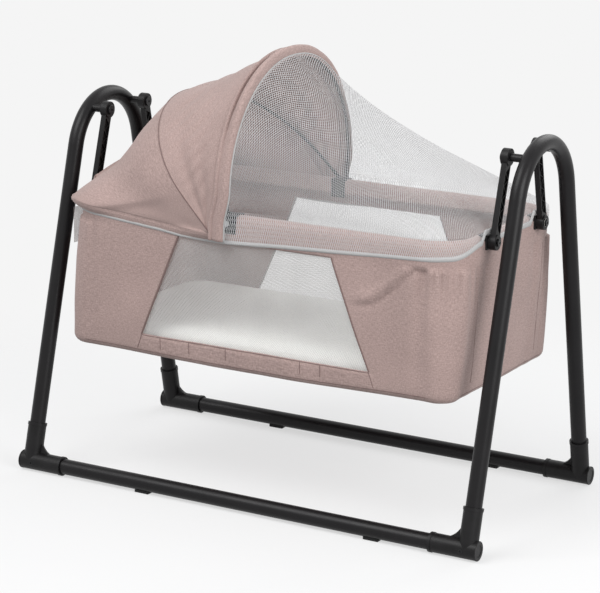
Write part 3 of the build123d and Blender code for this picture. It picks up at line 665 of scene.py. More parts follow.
@dataclass
class Outline:
    """Rounded rectangle of the basket's top, measured along its edge from the middle of the near side."""

    half_length: float
    half_width: float
    corner: float

    def __post_init__(self) -> None:
        """Works out where each straight and each corner starts."""
        self.straight = self.half_length - self.corner
        self.across = self.half_width - self.corner
        self.corner_arc = self.corner * math.pi / 2
        self.marks = [-self.straight, self.straight]
        for half in (self.across, self.straight, self.across):
            self.marks.append(self.marks[-1] + self.corner_arc)
            self.marks.append(self.marks[-1] + 2 * half)
        self.marks.append(self.marks[-1] + self.corner_arc)
        self.total = self.marks[-1] - self.marks[0]

    def at(self, distance: float, corner: float | None = None) -> tuple[Vector, Vector]:
        """Gives the place and outward direction at a distance along the edge.

        Args:
            distance: Distance from the middle of the near side towards the foot end.
            corner: Corner radius where it is smaller than the outline's own.

        Returns:
            The point, at height zero, and the outward direction.
        """
        span = (distance - self.marks[0]) % self.total + self.marks[0]
        index = max(i for i in range(8) if span >= self.marks[i] - 1e-9)
        step = span - self.marks[index]
        turn = Matrix.Rotation(index // 2 * math.pi / 2, 3, "Z")
        ahead, outward = turn @ Vector((1, 0, 0)), turn @ Vector((0, -1, 0))
        if index % 2 == 0:
            half = self.straight if index in (0, 4) else self.across
            reach = self.half_width if index in (0, 4) else self.half_length
            return ahead * (step - half) + outward * reach, outward
        radius = self.corner if corner is None else corner
        shrink = self.corner - radius
        arc = radius * math.pi / 2
        step *= (2 * shrink + arc) / self.corner_arc
        first = index in (1, 5)
        centre = ahead * (self.straight if first else self.across)
        centre += outward * (self.across if first else self.straight)
        if step < shrink:
            return centre + outward * self.corner + ahead * step, outward
        if step > shrink + arc:
            return centre + ahead * self.corner + outward * (2 * shrink + arc - step), ahead
        angle = (step - shrink) / radius
        normal = outward * math.cos(angle) + ahead * math.sin(angle)
        return centre + (ahead + outward) * shrink + normal * radius, normal

    def depth(self, place: Vector) -> float:
        """Gives how far a place lies inside the outline, below zero outside it."""
        past_straight = max(0.0, abs(place.x) - self.straight)
        past_across = max(0.0, abs(place.y) - self.across)
        return self.corner - math.hypot(past_straight, past_across)

    def of_side(self, side: Side, x: float) -> float:
        """Gives the distance along the edge of a place on a long side."""
        if side is Side.NEAR:
            return x
        return self.marks[4] + self.straight - x

    def half_round(self, share: float, start: float, end: End) -> float:
        """Gives a distance along the edge, round one end of the basket from one long side to the other.

        Args:
            share: Place, from 0 on the near side to 1 on the far side.
            start: Distance at which it starts.
            end: End that it goes round.

        Returns:
            The distance along the edge.
        """
        straight, corner, across = in_parts(share)
        way = end.value
        distance = start + (way * self.straight - start) * straight
        distance += way * (self.corner_arc * corner + self.across * across)
        return distance if share <= 0.5 else self.opposite(distance, end)

    def opposite(self, distance: float, end: End) -> float:
        """Gives the far side's mirror image of a distance, on the way round one end."""
        return self.of_side(Side.FAR, 0.0) - distance - (self.total if end is End.HEAD else 0.0)


@dataclass
class Basket:
    """Cloth tub with its windows, piping, seams, mattress and the white tape that holds the net.

    A pair named reach holds where an effect starts and where it is full, and so do drape_start and
    drape_end. The drape's roll and crease are each a height, a place and a width. The tape grows at the
    foot end in thickness and in height. Levels are heights above the floor. All lengths are in metres.
    """

    wardrobe: Wardrobe
    top_corner: float = 0.090
    foot_corner: float = 0.042
    corner_power: float = 0.8
    taper: float = 0.006
    foot_lean: float = -0.005
    lean_reach: Pair = (0.30, 0.42)
    bottom_radius: float = 0.013
    corner_bottom_radius: float = 0.016
    bottom_reach: Pair = (0.12, 0.40)
    bottom_lift: float = 0.001
    middle_sag: float = 0.004
    sag_reach: Pair = (0.36, 0.05)
    middle_line_half: float = 0.2
    cloth_thickness: float = 0.0024
    rim_slack: float = 0.0034
    rim_pucker: Ripple = Ripple(0.0006, 0.02, 9.0)
    lip_drops: Pair = (0.028, 0.022)
    lip_below_axis: float = 0.004
    band_puff: float = 0.0012
    band_set_back: float = 0.0005
    band_rows: tuple[float, ...] = (0.12, 0.32, 0.52, 0.72, 0.88)
    foot_rows: tuple[float, ...] = (0.35, 0.7, 1.0)
    underside_rows: tuple[float, ...] = (0.08, 0.2, 0.4, 0.6, 0.8, 0.93)
    wall_swell: float = 0.003
    wall_waves: Ripple = Ripple(0.0022, 0.13, 1.0)
    wall_dents: Ripple = Ripple(0.0010, 0.045, 2.0)
    soft_reach: Pair = (0.0, 0.03)
    gather_reach_x: Pair = (0.325, 0.36)
    gather_reach_y: Pair = (0.06, 0.13)
    gather_head_part: float = 0.35
    gather_depth: float = 0.0078
    gather_spacing: float = 0.021
    gather_spacing_change: Ripple = Ripple(0.004, 0.05, 5.0)
    gather_length: float = 0.060
    gather_length_change: Ripple = Ripple(0.04, 0.03, 6.0)
    gather_reach: Pair = (0.0, 0.008)
    fold_depth: float = 0.0038
    fold_spacing: float = 0.055
    fold_turn: float = 1.0
    fold_length: float = 0.16
    fold_reach: Pair = (0.0, 0.01)
    drape_line: tuple[Pair, ...] = (
        (0.228, 0.450), (0.260, 0.458), (0.281, 0.473), (0.312, 0.500), (0.342, 0.530), (0.362, 0.552),
    )
    drape_start: Pair = (0.205, 0.26)
    drape_end: Pair = (0.385, 0.35)
    drape_stop: float = 0.382
    drape_steepness: float = 0.72
    drape_roll: Triple = (0.0048, 0.008, 0.009)
    drape_crease: Triple = (0.0044, -0.002, 0.0042)
    hem_width: float = 0.0068
    hem_thickness: float = 0.0026
    hem_levels: tuple[Pair, ...] = (
        (-0.44, 0.549), (-0.425, 0.5525), (-0.405, 0.5565), (-0.357, 0.5545), (-0.307, 0.550),
        (-0.21, 0.5415), (-0.168, 0.5365), (-0.12, 0.5345), (-0.068, 0.534), (0.0, 0.537), (0.06, 0.541),
        (0.19, 0.547), (0.277, 0.552), (0.409, 0.558),
    )
    hem_foot_level: float = 0.579
    hem_head_level: float = 0.554
    hem_end_reach: Pair = (0.215, 0.15)
    hem_over_bracket: float = 0.0065
    bracket_reach: Pair = (0.034, 0.019)
    tape_waves: Ripple = Ripple(0.12, 0.03, 20.0)
    tape_foot_reach: Pair = (0.33, 0.42)
    tape_foot_growth: Pair = (0.3, 0.35)
    tape_stand_off: float = 0.0016
    tape_cloth: float = 0.0008
    window_top: float = 0.5335
    window_bottom: float = 0.320
    window_top_half: float = 0.171
    window_bottom_half: float = 0.257
    window_lap: float = 0.002
    window_draw: float = 0.0012
    window_hollow: float = 0.005
    seam_foot_half: float = 0.273
    seam_radius: float = 0.0012
    seam_lift: float = 0.0020
    stitch_places: tuple[float, ...] = (-0.214, -0.147, -0.062, 0.107, 0.152)
    stitch_step: float = 0.008
    corner_seam_top: float = 0.53
    corner_seam_step: float = 0.028
    corner_seam_lift: float = 0.0019
    foot_seam_share: float = 0.38
    piping_radius: float = 0.0021
    piping_lift: float = 0.0014
    piping_set_out: float = 0.0012
    tail_stand_off: float = 0.0024
    tail_wave: float = 0.0016
    tail_waves_per_metre: float = 70.0
    tail_ripple: Ripple = Ripple(0.001, 0.04, 30.0)

    def __post_init__(self) -> None:
        """Reads the basket's size from the frame and counts the wall's columns."""
        low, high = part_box("basket_fabric")
        rim_low, rim_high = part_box("rim_tube_foot")
        self.bottom = low.z
        self.top = high.z
        self.rim_radius = (rim_high.z - rim_low.z) / 2
        self.rim_height = (rim_high.z + rim_low.z) / 2
        self.rim_inset = high.y - rim_high.y + self.rim_radius
        bracket_low, bracket_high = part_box("hanger_bracket_foot_far")
        self.bracket_place = (bracket_low.y + bracket_high.y) / 2
        self.bracket_top = bracket_high.z
        self.outline = Outline(high.x, high.y, self.top_corner)
        self.plain_columns = self.across_columns = 26
        self.window_columns = self.corner_columns = 30

    def hem_height(self, distance: float, over_brackets: bool = True) -> float:
        """Gives the height of the white tape's middle at a distance along the edge.

        Args:
            distance: Distance along the edge.
            over_brackets: Whether the tape rises over the hanger brackets.

        Returns:
            The height above the floor.
        """
        place, _ = self.outline.at(distance)
        level = through(self.hem_levels, place.x)
        end_level = self.hem_foot_level if place.x > 0 else self.hem_head_level
        level += (end_level - level) * fade(*self.hem_end_reach, abs(place.y))
        if over_brackets:
            over = self.bracket_top + self.hem_over_bracket
            level += (over - level) * fade(*self.bracket_reach, abs(abs(place.y) - self.bracket_place))
        return level

    def relief(self, distance: float, height: float) -> float:
        """Gives how far the cloth stands out at a place on the wall.

        Args:
            distance: Distance along the edge.
            height: Height above the floor.

        Returns:
            Outward swell in metres.
        """
        place, _ = self.outline.at(distance)
        spot = Vector((place.x, place.y, height))
        hem = self.hem_height(distance)
        drop = max(0.0, hem - height)
        total = self.wall_swell * arch(min(1.0, drop / (hem - self.bottom)))
        total += (self.wall_waves.at(spot) + self.wall_dents.at(spot)) * fade(*self.soft_reach, drop)
        total += self._gathers(place, distance, drop)
        if place.y < 0:
            total += self._drape_fold(place.x, height)
        return total

    def _gathers(self, place: Vector, distance: float, drop: float) -> float:
        """Short upright folds where the cloth is gathered under the tape, most at the foot corners."""
        strength = fade(*self.gather_reach_x, abs(place.x)) * fade(*self.gather_reach_y, abs(place.y))
        if place.x < 0:
            strength *= self.gather_head_part
        spacing = self.gather_spacing + self.gather_spacing_change.at(place)
        length = self.gather_length + self.gather_length_change.at(place)
        short = self.gather_depth * math.sin(2 * math.pi * distance / spacing) * math.exp(-drop / length)
        wave = math.sin(2 * math.pi * distance / self.fold_spacing + self.fold_turn)
        long = self.fold_depth * wave * math.exp(-drop / self.fold_length)
        return strength * (short * fade(*self.gather_reach, drop) + long * fade(*self.fold_reach, drop))

    def _drape_fold(self, x: float, height: float) -> float:
        """The curved fold that runs from the gathers towards the window's edge."""
        if x >= self.drape_stop:
            return 0.0
        gap = (height - through(self.drape_line, x)) * self.drape_steepness
        strength = fade(*self.drape_start, x) * fade(*self.drape_end, x)
        roll, *roll_shape = self.drape_roll
        crease, *crease_shape = self.drape_crease
        return strength * (roll * hump(gap, *roll_shape) - crease * hump(gap, *crease_shape))

    def wall(self, distance: float, height: float, lift: float = 0.0) -> Vector:
        """Gives a point on the outside of the wall.

        Args:
            distance: Distance along the edge.
            height: Height above the floor.
            lift: Extra distance outwards.

        Returns:
            The point.
        """
        depth = (self.top - height) / (self.top - self.bottom)
        place, normal = self.outline.at(distance, self.corner_at(height))
        out = self.relief(distance, height) - self.taper * depth + lift
        lean = self.foot_lean * depth * fade(*self.lean_reach, abs(place.x))
        return Vector((place.x + lean, place.y, height)) + normal * out

    def corner_at(self, height: float) -> float:
        """Radius of the basket's upright corners, which grow tighter towards the bottom."""
        depth = max(0.0, (self.top - height) / (self.top - self.bottom))
        return self.top_corner + (self.foot_corner - self.top_corner) * min(1.0, depth) ** self.corner_power

    def _window_half(self, height: float) -> float:
        """Half length of the window, or of the seams' spread, at a height."""
        if height >= self.window_bottom:
            half, level = self.window_top_half, self.window_top
        else:
            half, level = self.seam_foot_half, self.bottom
        share = min(1.0, (height - self.window_bottom) / (level - self.window_bottom))
        return self.window_bottom_half + (half - self.window_bottom_half) * share

    def _stations(self, height: float) -> list[float]:
        """Distances along the edge of one row's points, lined up with the window's edges."""
        half = self._window_half(height)
        edge = self.outline.straight
        marks = self.outline.marks
        near = [
            (-edge, -half, self.plain_columns),
            (-half, half, self.window_columns),
            (half, edge, self.plain_columns),
        ]
        middle = marks[4] + edge
        far = [(middle + start, middle + stop, count) for start, stop, count in near]
        counts = (self.corner_columns, self.across_columns, self.corner_columns)
        ends = [[(marks[m + k], marks[m + k + 1], counts[k]) for k in range(3)] for m in (1, 5)]
        spans = near + ends[0] + far + ends[1]
        return [start + (stop - start) * i / count for start, stop, count in spans for i in range(count)]

    def _foot_radius(self, distance: float) -> float:
        """Rounding of the bottom edge, which is larger towards the ends."""
        place, _ = self.outline.at(distance)
        share = fade(*self.bottom_reach, abs(place.x))
        return self.bottom_radius + (self.corner_bottom_radius - self.bottom_radius) * share

    def _foot_height(self, distance: float) -> float:
        """Height of the cloth's bottom, which sags in the middle of a side."""
        place, _ = self.outline.at(distance)
        return self.bottom + self.bottom_lift - self.middle_sag * fade(*self.sag_reach, abs(place.x))

    def _rows(self) -> tuple[Rows, tuple[int, int]]:
        """Works out all rows, from the inner lip over the rim to the middle of the bottom."""
        rim_steps, window_rows, round_steps = 9, 38, 6
        stations = self._stations(self.window_top)
        lip_heights = [self.top - drop for drop in self.lip_drops] + [self.rim_height - self.lip_below_axis]
        rows = [[self._inner_lip(spot, height) for spot in stations] for height in lip_heights]
        for step in range(rim_steps):
            angle = math.pi * (1 - step / rim_steps)
            rows.append([self._over_rim(spot, angle) for spot in stations])
        for share in self.band_rows:
            rows.append([self._padded_band(spot, share) for spot in stations])
        first_window_row = len(rows)
        for step in range(window_rows + 1):
            height = self.window_top + (self.window_bottom - self.window_top) * step / window_rows
            rows.append([self.wall(spot, height) for spot in self._stations(height)])
        last_window_row = len(rows) - 1
        low_stations = self._stations(self.bottom)
        for share in self.foot_rows:
            rows.append([self._below_window(spot, share) for spot in low_stations])
        for step in range(1, round_steps + 1):
            angle = math.pi / 2 * step / round_steps
            rows.append([self._foot_round(spot, angle) for spot in low_stations])
        for share in self.underside_rows:
            rows.append([self._underside(spot, share) for spot in low_stations])
        return rows, (first_window_row, last_window_row)

    def _inner_lip(self, distance: float, height: float) -> Vector:
        """Point on the part of the hem that hangs inside the rim."""
        place, normal = self.outline.at(distance)
        inset = self.rim_inset + self.rim_radius + self.rim_slack
        return Vector((place.x, place.y, height)) - normal * inset

    def _over_rim(self, distance: float, angle: float) -> Vector:
        """Point on the cloth where it wraps over the rim tube."""
        place, normal = self.outline.at(distance)
        spot = Vector((place.x, place.y, self.rim_height))
        radius = self.rim_radius + self.rim_slack + self.rim_pucker.at(spot)
        spot += normal * (radius * math.cos(angle) - self.rim_inset)
        return spot + Vector((0, 0, radius * math.sin(angle)))

    def _padded_band(self, distance: float, share: float) -> Vector:
        """Point on the soft band between the rim and the windows' top."""
        place, normal = self.outline.at(distance)
        height = self.rim_height + (self.window_top - self.rim_height) * share
        out = self.band_puff * arch(share) - self.band_set_back
        return Vector((place.x, place.y, height)) + normal * out

    def _below_window(self, distance: float, share: float) -> Vector:
        """Point between the window's foot and the rounded bottom edge."""
        foot = self._foot_height(distance) + self._foot_radius(distance)
        return self.wall(distance, self.window_bottom + (foot - self.window_bottom) * share)

    def _foot_round(self, distance: float, angle: float) -> Vector:
        """Point on the rounded bottom edge."""
        radius = self._foot_radius(distance)
        start_height = self._foot_height(distance) + radius
        _, normal = self.outline.at(distance, self.corner_at(start_height))
        start = self.wall(distance, start_height)
        return start - normal * radius * (1 - math.cos(angle)) - Vector((0, 0, radius * math.sin(angle)))

    def _underside(self, distance: float, share: float) -> Vector:
        """Point on the flat bottom, drawn towards its middle line."""
        edge = self._foot_round(distance, math.pi / 2)
        half = self.middle_line_half
        middle = Vector((max(-half, min(half, edge.x)), 0.0, self.bottom + self.bottom_lift / 2))
        return edge.lerp(middle, share)

    def build(self) -> None:
        """Makes every piece of the basket."""
        self._tub()
        for side in Side:
            self._window(side)
        self._piping()
        self._seams()
        self._tape()
        self._tail()
        self._mattress()

    def _tub(self) -> None:
        """Makes the cloth tub, open at its windows."""
        rows, (top_row, foot_row) = self._rows()
        end_columns = self.across_columns + 2 * self.corner_columns
        starts = (self.plain_columns, 3 * self.plain_columns + self.window_columns + end_columns)

        def in_window(row: int, column: int) -> bool:
            """Tells whether a face lies in a window."""
            return top_row <= row < foot_row and any(0 <= column - s < self.window_columns for s in starts)

        tub, area, _ = ClothGrid("basket_cloth", rows, True, in_window).build(self.cloth_thickness, -1.0)
        self._close_bottom(tub)
        self.wardrobe.dress(tub, self.wardrobe.palette.linen)
        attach(tub, "basket")
        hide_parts("basket_fabric")

    def _close_bottom(self, tub: bpy.types.Object) -> None:
        """Fills the slit that the rows leave in the middle of the bottom."""
        tiny = 1e-7
        body = bmesh.new()
        body.from_mesh(tub.data)
        rims = [edge for edge in body.edges if edge.is_boundary]
        if rims:
            bmesh.ops.holes_fill(body, edges=rims, sides=0)
        slit = [edge for edge in body.edges if edge.calc_length() < tiny]
        bmesh.ops.dissolve_degenerate(body, dist=tiny, edges=slit)
        body.to_mesh(tub.data)
        body.free()

    def _window(self, side: Side) -> None:
        """Makes the net in one window, drawn slightly inwards."""
        height_steps, length_steps = 28, 56
        drift = Ripple(0.001, 0.09, 12.0 + side.value)
        drop = self.window_top - self.window_bottom + 2 * self.window_lap
        rows = []
        for i in range(height_steps + 1):
            height = self.window_top + self.window_lap - drop * i / height_steps
            half = self._window_half(height) + self.window_lap
            row = []
            for j in range(length_steps + 1):
                x = -half + 2 * half * j / length_steps
                hollow = self.window_hollow * arch(i / height_steps) * arch(j / length_steps)
                draw = self.window_draw + hollow + drift.at(Vector((x, 0.0, height)))
                row.append(self.wall(self.outline.of_side(side, x), height, -draw))
            rows.append(row)
        side_name = side.name.lower()
        net, area, flat = ClothGrid(f"window_mesh_{side_name}", rows).build(0.0)
        self.wardrobe.dress(net, self.wardrobe.palette.window)
        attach(net, "basket")
        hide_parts(f"window_net_{side_name}")

    def _dress_cord(self, cord: bpy.types.Object) -> None:
        """Finishes piping or seams of the basket."""
        self.wardrobe.dress(cord, self.wardrobe.palette.piping)
        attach(cord, "basket")

    def _piping(self) -> None:
        """Makes the piping along the windows' slanted edges."""
        steps = 14
        lines = []
        for side in Side:
            for sign in (-1, 1):
                line = []
                for step in range(steps + 1):
                    height = self.window_top + (self.window_bottom - self.window_top) * step / steps
                    x = sign * (self._window_half(height) + self.piping_set_out)
                    line.append(self.wall(self.outline.of_side(side, x), height, self.piping_lift))
                lines.append(line)
        self._dress_cord(cord_mesh("window_piping", lines, self.piping_radius))

    def _seams(self) -> None:
        """Makes the sewn lines: under the windows, round the foot and up the corners."""
        lines = [line for side in Side for line in self._side_seams(side)]
        steps = 140
        angle = math.asin(self.foot_seam_share)
        around = []
        for step in range(steps + 1):
            distance = self.outline.total * step / steps
            _, normal = self.outline.at(distance, self.foot_corner)
            around.append(self._foot_round(distance, angle) + normal * self.seam_lift)
        lines.append(around)
        levels = [self.corner_seam_top - self.corner_seam_step * k for k in range(9)]
        for index in (2, 3, 6, 7):
            mark = self.outline.marks[index]
            lines.append([self.wall(mark, level, self.corner_seam_lift) for level in levels])
        self._dress_cord(cord_mesh("basket_seams", lines, self.seam_radius, 4))

    def _side_seams(self, side: Side) -> Rows:
        """Gives the lines of one long side: two slanted seams, one under the window and its stitches."""
        def on_wall(x: float, height: float) -> Vector:
            """Point of a seam on this side's wall."""
            return self.wall(self.outline.of_side(side, x), height, self.seam_lift)

        slant_steps, edge_steps, above_bottom = 5, 18, 0.012
        lines = []
        for sign in (-1, 1):
            drop = self.bottom + above_bottom - self.window_bottom
            heights = [self.window_bottom + drop * step / slant_steps for step in range(slant_steps + 1)]
            lines.append([on_wall(sign * self._window_half(height), height) for height in heights])
        half = self.window_bottom_half
        level = self.window_bottom - self.window_lap
        lines.append([on_wall(-half + 2 * half * step / edge_steps, level) for step in range(edge_steps + 1)])
        first = self.window_bottom - 0.003
        for x in self.stitch_places:
            lines.append([on_wall(x, first - self.stitch_step * k) for k in range(4)])
        return lines

    def _tape(self) -> None:
        """Makes the white tape that runs round the basket and holds the net and the hood's skirt."""
        last_row, count = 8, 420
        rows: Rows = [[] for _ in range(last_row + 1)]
        for step in range(count):
            distance = self.outline.total * step / count
            place, normal = self.outline.at(distance)
            spot = Vector((place.x, place.y, self.hem_height(distance)))
            corner = fade(*self.tape_foot_reach, place.x)
            thick = self.hem_thickness * (1.0 + self.tape_foot_growth[0] * corner)
            tall = self.hem_width / 2 * (1.0 + self.tape_waves.at(spot) + self.tape_foot_growth[1] * corner)
            for row, points in enumerate(rows):
                angle = math.pi * (row / last_row) - math.pi / 2
                out = self.tape_stand_off + thick * math.cos(angle)
                points.append(spot + normal * out - Vector((0, 0, tall * math.sin(angle))))
        tape, _, _ = ClothGrid("hem_tape", rows, True).build(self.tape_cloth, -1.0)
        # The tape's finish is darker than white, which is painted shade.
        self.wardrobe.dress(tape, self.wardrobe.palette.binding_painted_shade)
        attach(tape, "basket")
        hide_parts("net_hem")

    def _tail(self) -> None:
        """Makes the loose tail of net at the head end."""
        low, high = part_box("head_flap")
        row_steps, column_steps = 12, 60
        rows: Rows = [[] for _ in range(row_steps + 1)]
        for j in range(column_steps + 1):
            y = low.y + (high.y - low.y) * j / column_steps
            distance = self.outline.marks[6] + self.outline.across - y
            top = self.hem_height(distance, False)
            for i, row in enumerate(rows):
                share = i / row_steps
                height = top + (low.z - top) * share
                ripple = self.tail_wave * math.sin(y * self.tail_waves_per_metre) * share
                ripple += self.tail_ripple.at(Vector((0, y, height)))
                wall_x = min(low.x, self.wall(distance, height).x)
                row.append(Vector((wall_x - self.tail_stand_off - ripple, y, height)))
        tail, area, flat = ClothGrid("net_tail", rows).build(0.0)
        self.wardrobe.dress(tail, self.wardrobe.palette.flap)
        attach(tail, "basket")
        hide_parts("head_flap")

    def _mattress(self) -> None:
        """Makes the crowned mattress with a sewn edge, swollen by a short cloth simulation."""
        low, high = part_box("mattress")
        margin, corner, columns = 0.006, 0.070, 180
        half = Vector((high.x - margin, high.y - margin, 0))
        edge = Outline(half.x, half.y, corner)
        foot, top = low.z + 0.002, high.z - 0.009
        height_and_inset = [
            (0.0, 0.030), (0.0, 0.014), (0.12, 0.004), (0.3, 0.0), (0.5, 0.001), (0.7, 0.0), (0.88, 0.005),
            (1.0, 0.016), (1.06, 0.045), (1.1, 0.10), (1.13, 0.16),
        ]
        around = [edge.at(edge.total * step / columns) for step in range(columns)]
        body = bmesh.new()
        points = []
        for share, inset in height_and_inset:
            level = Vector((0, 0, foot + (top - foot) * share))
            points.append([body.verts.new(place - normal * inset + level) for place, normal in around])
        for upper, lower in zip(points, points[1:]):
            for j in range(columns):
                k = (j + 1) % columns
                body.faces.new((upper[j], upper[k], lower[k], lower[j]))
        body.faces.new(points[0][::-1])
        body.faces.new(points[-1])
        mesh = bpy.data.meshes.new("mattress_pad")
        body.to_mesh(mesh)
        body.free()
        pad = new_piece("mattress_pad", mesh)
        finish_modifier(pad, "REMESH", mode="VOXEL", voxel_size=0.0075)
        swell(pad, 3.0, 0.006, low, high)
        smooth_faces(pad)
        unwrap(pad, (1, 0, 0), (0, 1, 1))
        self.wardrobe.dress(pad, self.wardrobe.palette.cotton)
        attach(pad, "basket")
        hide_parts("mattress")


def swell(pad: bpy.types.Object, pressure: float, cap: float, low: Vector, high: Vector) -> None:
    """Blows a pad up a little by a cloth simulation and keeps it in its box.

    Args:
        pad: Closed mesh that swells.
        pressure: Pressure inside it.
        cap: Furthest that a point may move, in metres.
        low: Lowest corner that it may reach.
        high: Highest corner that it may reach.
    """
    last_frame = 14
    before = [vert.co.copy() for vert in pad.data.vertices]
    modifier = pad.modifiers.new("Cloth", "CLOTH")
    settings = modifier.settings
    settings.use_pressure = True
    settings.uniform_pressure_force = pressure
    settings.quality = 4
    settings.effector_weights.gravity = 0.0
    modifier.point_cache.frame_start = 1
    modifier.point_cache.frame_end = last_frame
    for number in range(1, last_frame + 1):
        bpy.context.scene.frame_set(number)
    select_only(pad)
    bpy.ops.object.modifier_apply(modifier=modifier.name)
    bpy.context.scene.frame_set(1)
    for vert, start in zip(pad.data.vertices, before):
        move = vert.co - start
        if move.length > cap:
            vert.co = start + move * (cap / move.length)
        for axis in range(3):
            vert.co[axis] = min(high[axis], max(low[axis], vert.co[axis]))


@dataclass
class Hood:
    """Folding hood and the net tent in front of it.

    A pair named reach holds where an effect starts and where it is full, one named band its middle and
    its width, and one named folds their height and how close they lie. The skirt's groove is a depth, a
    place and a width. The rear cloth is pulled back, up, and further up at the head end. Levels are
    heights above the floor, tilts are in degrees and all lengths are in metres.
    """

    wardrobe: Wardrobe
    basket: Basket
    columns: int = 220
    cloth_thickness: float = 0.0018
    hub_height: float = 0.574
    mid_tilt: float = -48.0
    middle_x: float = -0.15
    middle_rise: float = 0.06
    lengthwise_part: float = 0.55
    seam_foot: Pair = (-0.117, 0.580)
    seam_tilt: float = -41.0
    seam_bulge: float = 0.012
    seam_cover: float = 0.0049
    seam_shoulder: float = 0.008
    bulge_slope: float = 0.9
    bulge_start: float = 0.05
    welt_radius: float = 0.0013
    welt_lift: float = 0.0008
    rear_sag: float = 0.001
    rear_middle_sag: float = 0.015
    rear_middle_reach: Pair = (0.02, 0.16)
    rear_sag_band: Pair = (0.62, 0.32)
    rear_pull: Triple = (0.75, 0.25, 0.6)
    rear_waves: Ripple = Ripple(0.0026, 0.11, 40.0)
    rear_dents: Ripple = Ripple(0.0012, 0.04, 41.0)
    rim_clearance: float = 0.0025
    rim_clearance_reach: Pair = (0.0, 0.010)
    front_sag: float = 0.005
    front_end_reach: Pair = (0.0, 0.06)
    front_stretch: Triple = (2.2, 1.0, 0.7)
    front_waves: Ripple = Ripple(0.0035, 0.10, 50.0)
    front_dents: Ripple = Ripple(0.0014, 0.035, 51.0)
    bow_folds: Pair = (0.0018, 5.0)
    bow_fold_drift: Ripple = Ripple(3.0, 0.16, 52.0)
    slant_folds: Pair = (0.0016, 210.0)
    slant_fold_drift: Ripple = Ripple(2.0, 0.09, 53.0)
    slant_fold_band: Pair = (0.70, 0.10)
    slant_fold_slope: float = 0.75
    slant_fold_start: Pair = (-0.15, 0.60)
    hub_folds: Pair = (0.002, 260.0)
    hub_fold_length: float = 0.05
    hem_back: float = 0.026
    hem_foot: float = 0.5375
    hem_retreat: float = 0.012
    hem_retreat_reach: Pair = (0.640, 0.565)
    hem_shoulder: float = 0.007
    hem_profile: tuple[Pair, ...] = (
        (0.0, -0.0008), (0.05, 0.0014), (0.11, 0.0022), (0.17, 0.0008), (0.24, -0.0012), (0.32, -0.0002),
        (0.44, 0.0016), (0.56, 0.0028), (0.68, 0.0037), (0.8, 0.0040), (0.9, 0.0034), (0.97, 0.0014),
        (1.0, -0.0016),
    )
    hem_crown: float = 2.8
    hem_crown_reach: Pair = (0.70, 0.86)
    hem_set_in: float = 0.0012
    hem_lap: float = 0.001
    hem_ripple: Ripple = Ripple(0.0007, 0.02, 60.0)
    edging_radii: Pair = (0.0014, 0.0016)
    edging_set_back: float = 0.0008
    edging_set_in: float = 0.0026
    edging_thickness: float = 0.0007
    band_height: float = 0.017
    band_start: float = -0.088
    band_end_rise: float = 0.004
    band_end_reach: Pair = (-0.36, -0.42)
    band_least_height: float = 0.0075
    band_overhang: float = 0.0065
    hub_overhang: float = 0.0095
    hub_reach: Pair = (-0.19, -0.11)
    corner_overhang: float = 0.0195
    corner_reach: Pair = (-0.30, -0.42)
    shoulder_reach: Pair = (0.135, 0.19)
    end_set_back: float = 0.0030
    end_reach: Pair = (-0.40, -0.44)
    skirt_foot_overhang: float = 0.0032
    skirt_foot_lap: float = 0.0005
    skirt_curve: float = 1.6
    skirt_groove: Triple = (0.0011, 0.22, 0.07)
    skirt_lip_rise: float = 0.004
    skirt_lip_set_back: float = 0.0022
    skirt_ripple: Ripple = Ripple(0.0007, 0.03, 70.0)
    tent_foot: float = 0.5975
    tent_gap: float = 0.0045
    tent_rim_gap: float = 0.005
    tent_set_in: float = 0.0016
    tent_sag: float = 0.0035
    tent_middle_sag: float = 0.034
    tent_sag_lean: float = 0.7
    tent_waves: Ripple = Ripple(0.0022, 0.15, 80.0)
    net_stand_off: float = 0.0044
    net_hub_stand_off: float = 0.0116
    net_hub_reach: Pair = (0.075, 0.012)
    apron_puff: float = 0.0012

    def __post_init__(self) -> None:
        """Reads the bows from the frame."""
        low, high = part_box("front_bow")
        mid_low, mid_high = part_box("mid_bow")
        _, hem_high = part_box("front_hem")
        lean = math.radians(self.mid_tilt)
        radius = (high.x - low.x) / 2
        self.hub = (low.x + high.x) / 2
        self.mid_half = mid_high.y - radius
        self.mid_rise = (self.hub - mid_low.x - radius * math.cos(lean)) / math.sin(-lean)
        self.hem_half = hem_high.y
        self.hem_rise = hem_high.z - self.hub_height
        self.hem_front = hem_high.x

    def bow_place(self, share: float, half: float, rise: float, corner: float, start: float) -> Pair:
        """Gives a place on a bow's arch.

        Args:
            share: Place along the arch, from 0 at the near foot to 1 at the far foot.
            half: Half width of the arch.
            rise: Height of its top above the pivot axis.
            corner: Radius of its shoulders.
            start: Height at which it starts above the pivot axis.

        Returns:
            The distance across and the height above the pivot axis.
        """
        upright, shoulder, top = in_parts(share)
        angle = math.pi / 2 * shoulder
        across = (half - corner) * (1 - top) + corner * math.cos(angle)
        height = start + (rise - corner - start) * upright + corner * math.sin(angle)
        return (across if share > 0.5 else -across), height

    def front_point(self, share: float, x: float, swell: float = 0.0, foot: float | None = None) -> Vector:
        """Gives a point on the front arch's cloth.

        Args:
            share: Place along the arch.
            x: Place along the crib at the arch's top.
            swell: Distance outwards from the arch.
            foot: Height of the arch's feet; the hem's own where none is given.

        Returns:
            The point.
        """
        start = (self.hem_foot if foot is None else foot) - self.hub_height
        corner = self.hem_half - self.hem_shoulder
        across, height = self.bow_place(share, self.hem_half, self.hem_rise, corner, start)
        level = self.hub_height + height
        point = Vector((x - self.hem_retreat * fade(*self.hem_retreat_reach, level), across, level))
        upright = abs(across) >= self.hem_half - 1e-6
        centre = Vector((point.x, 0.0, level if upright else self.hub_height + self.hem_rise - corner))
        return point + (point - centre).normalized() * swell

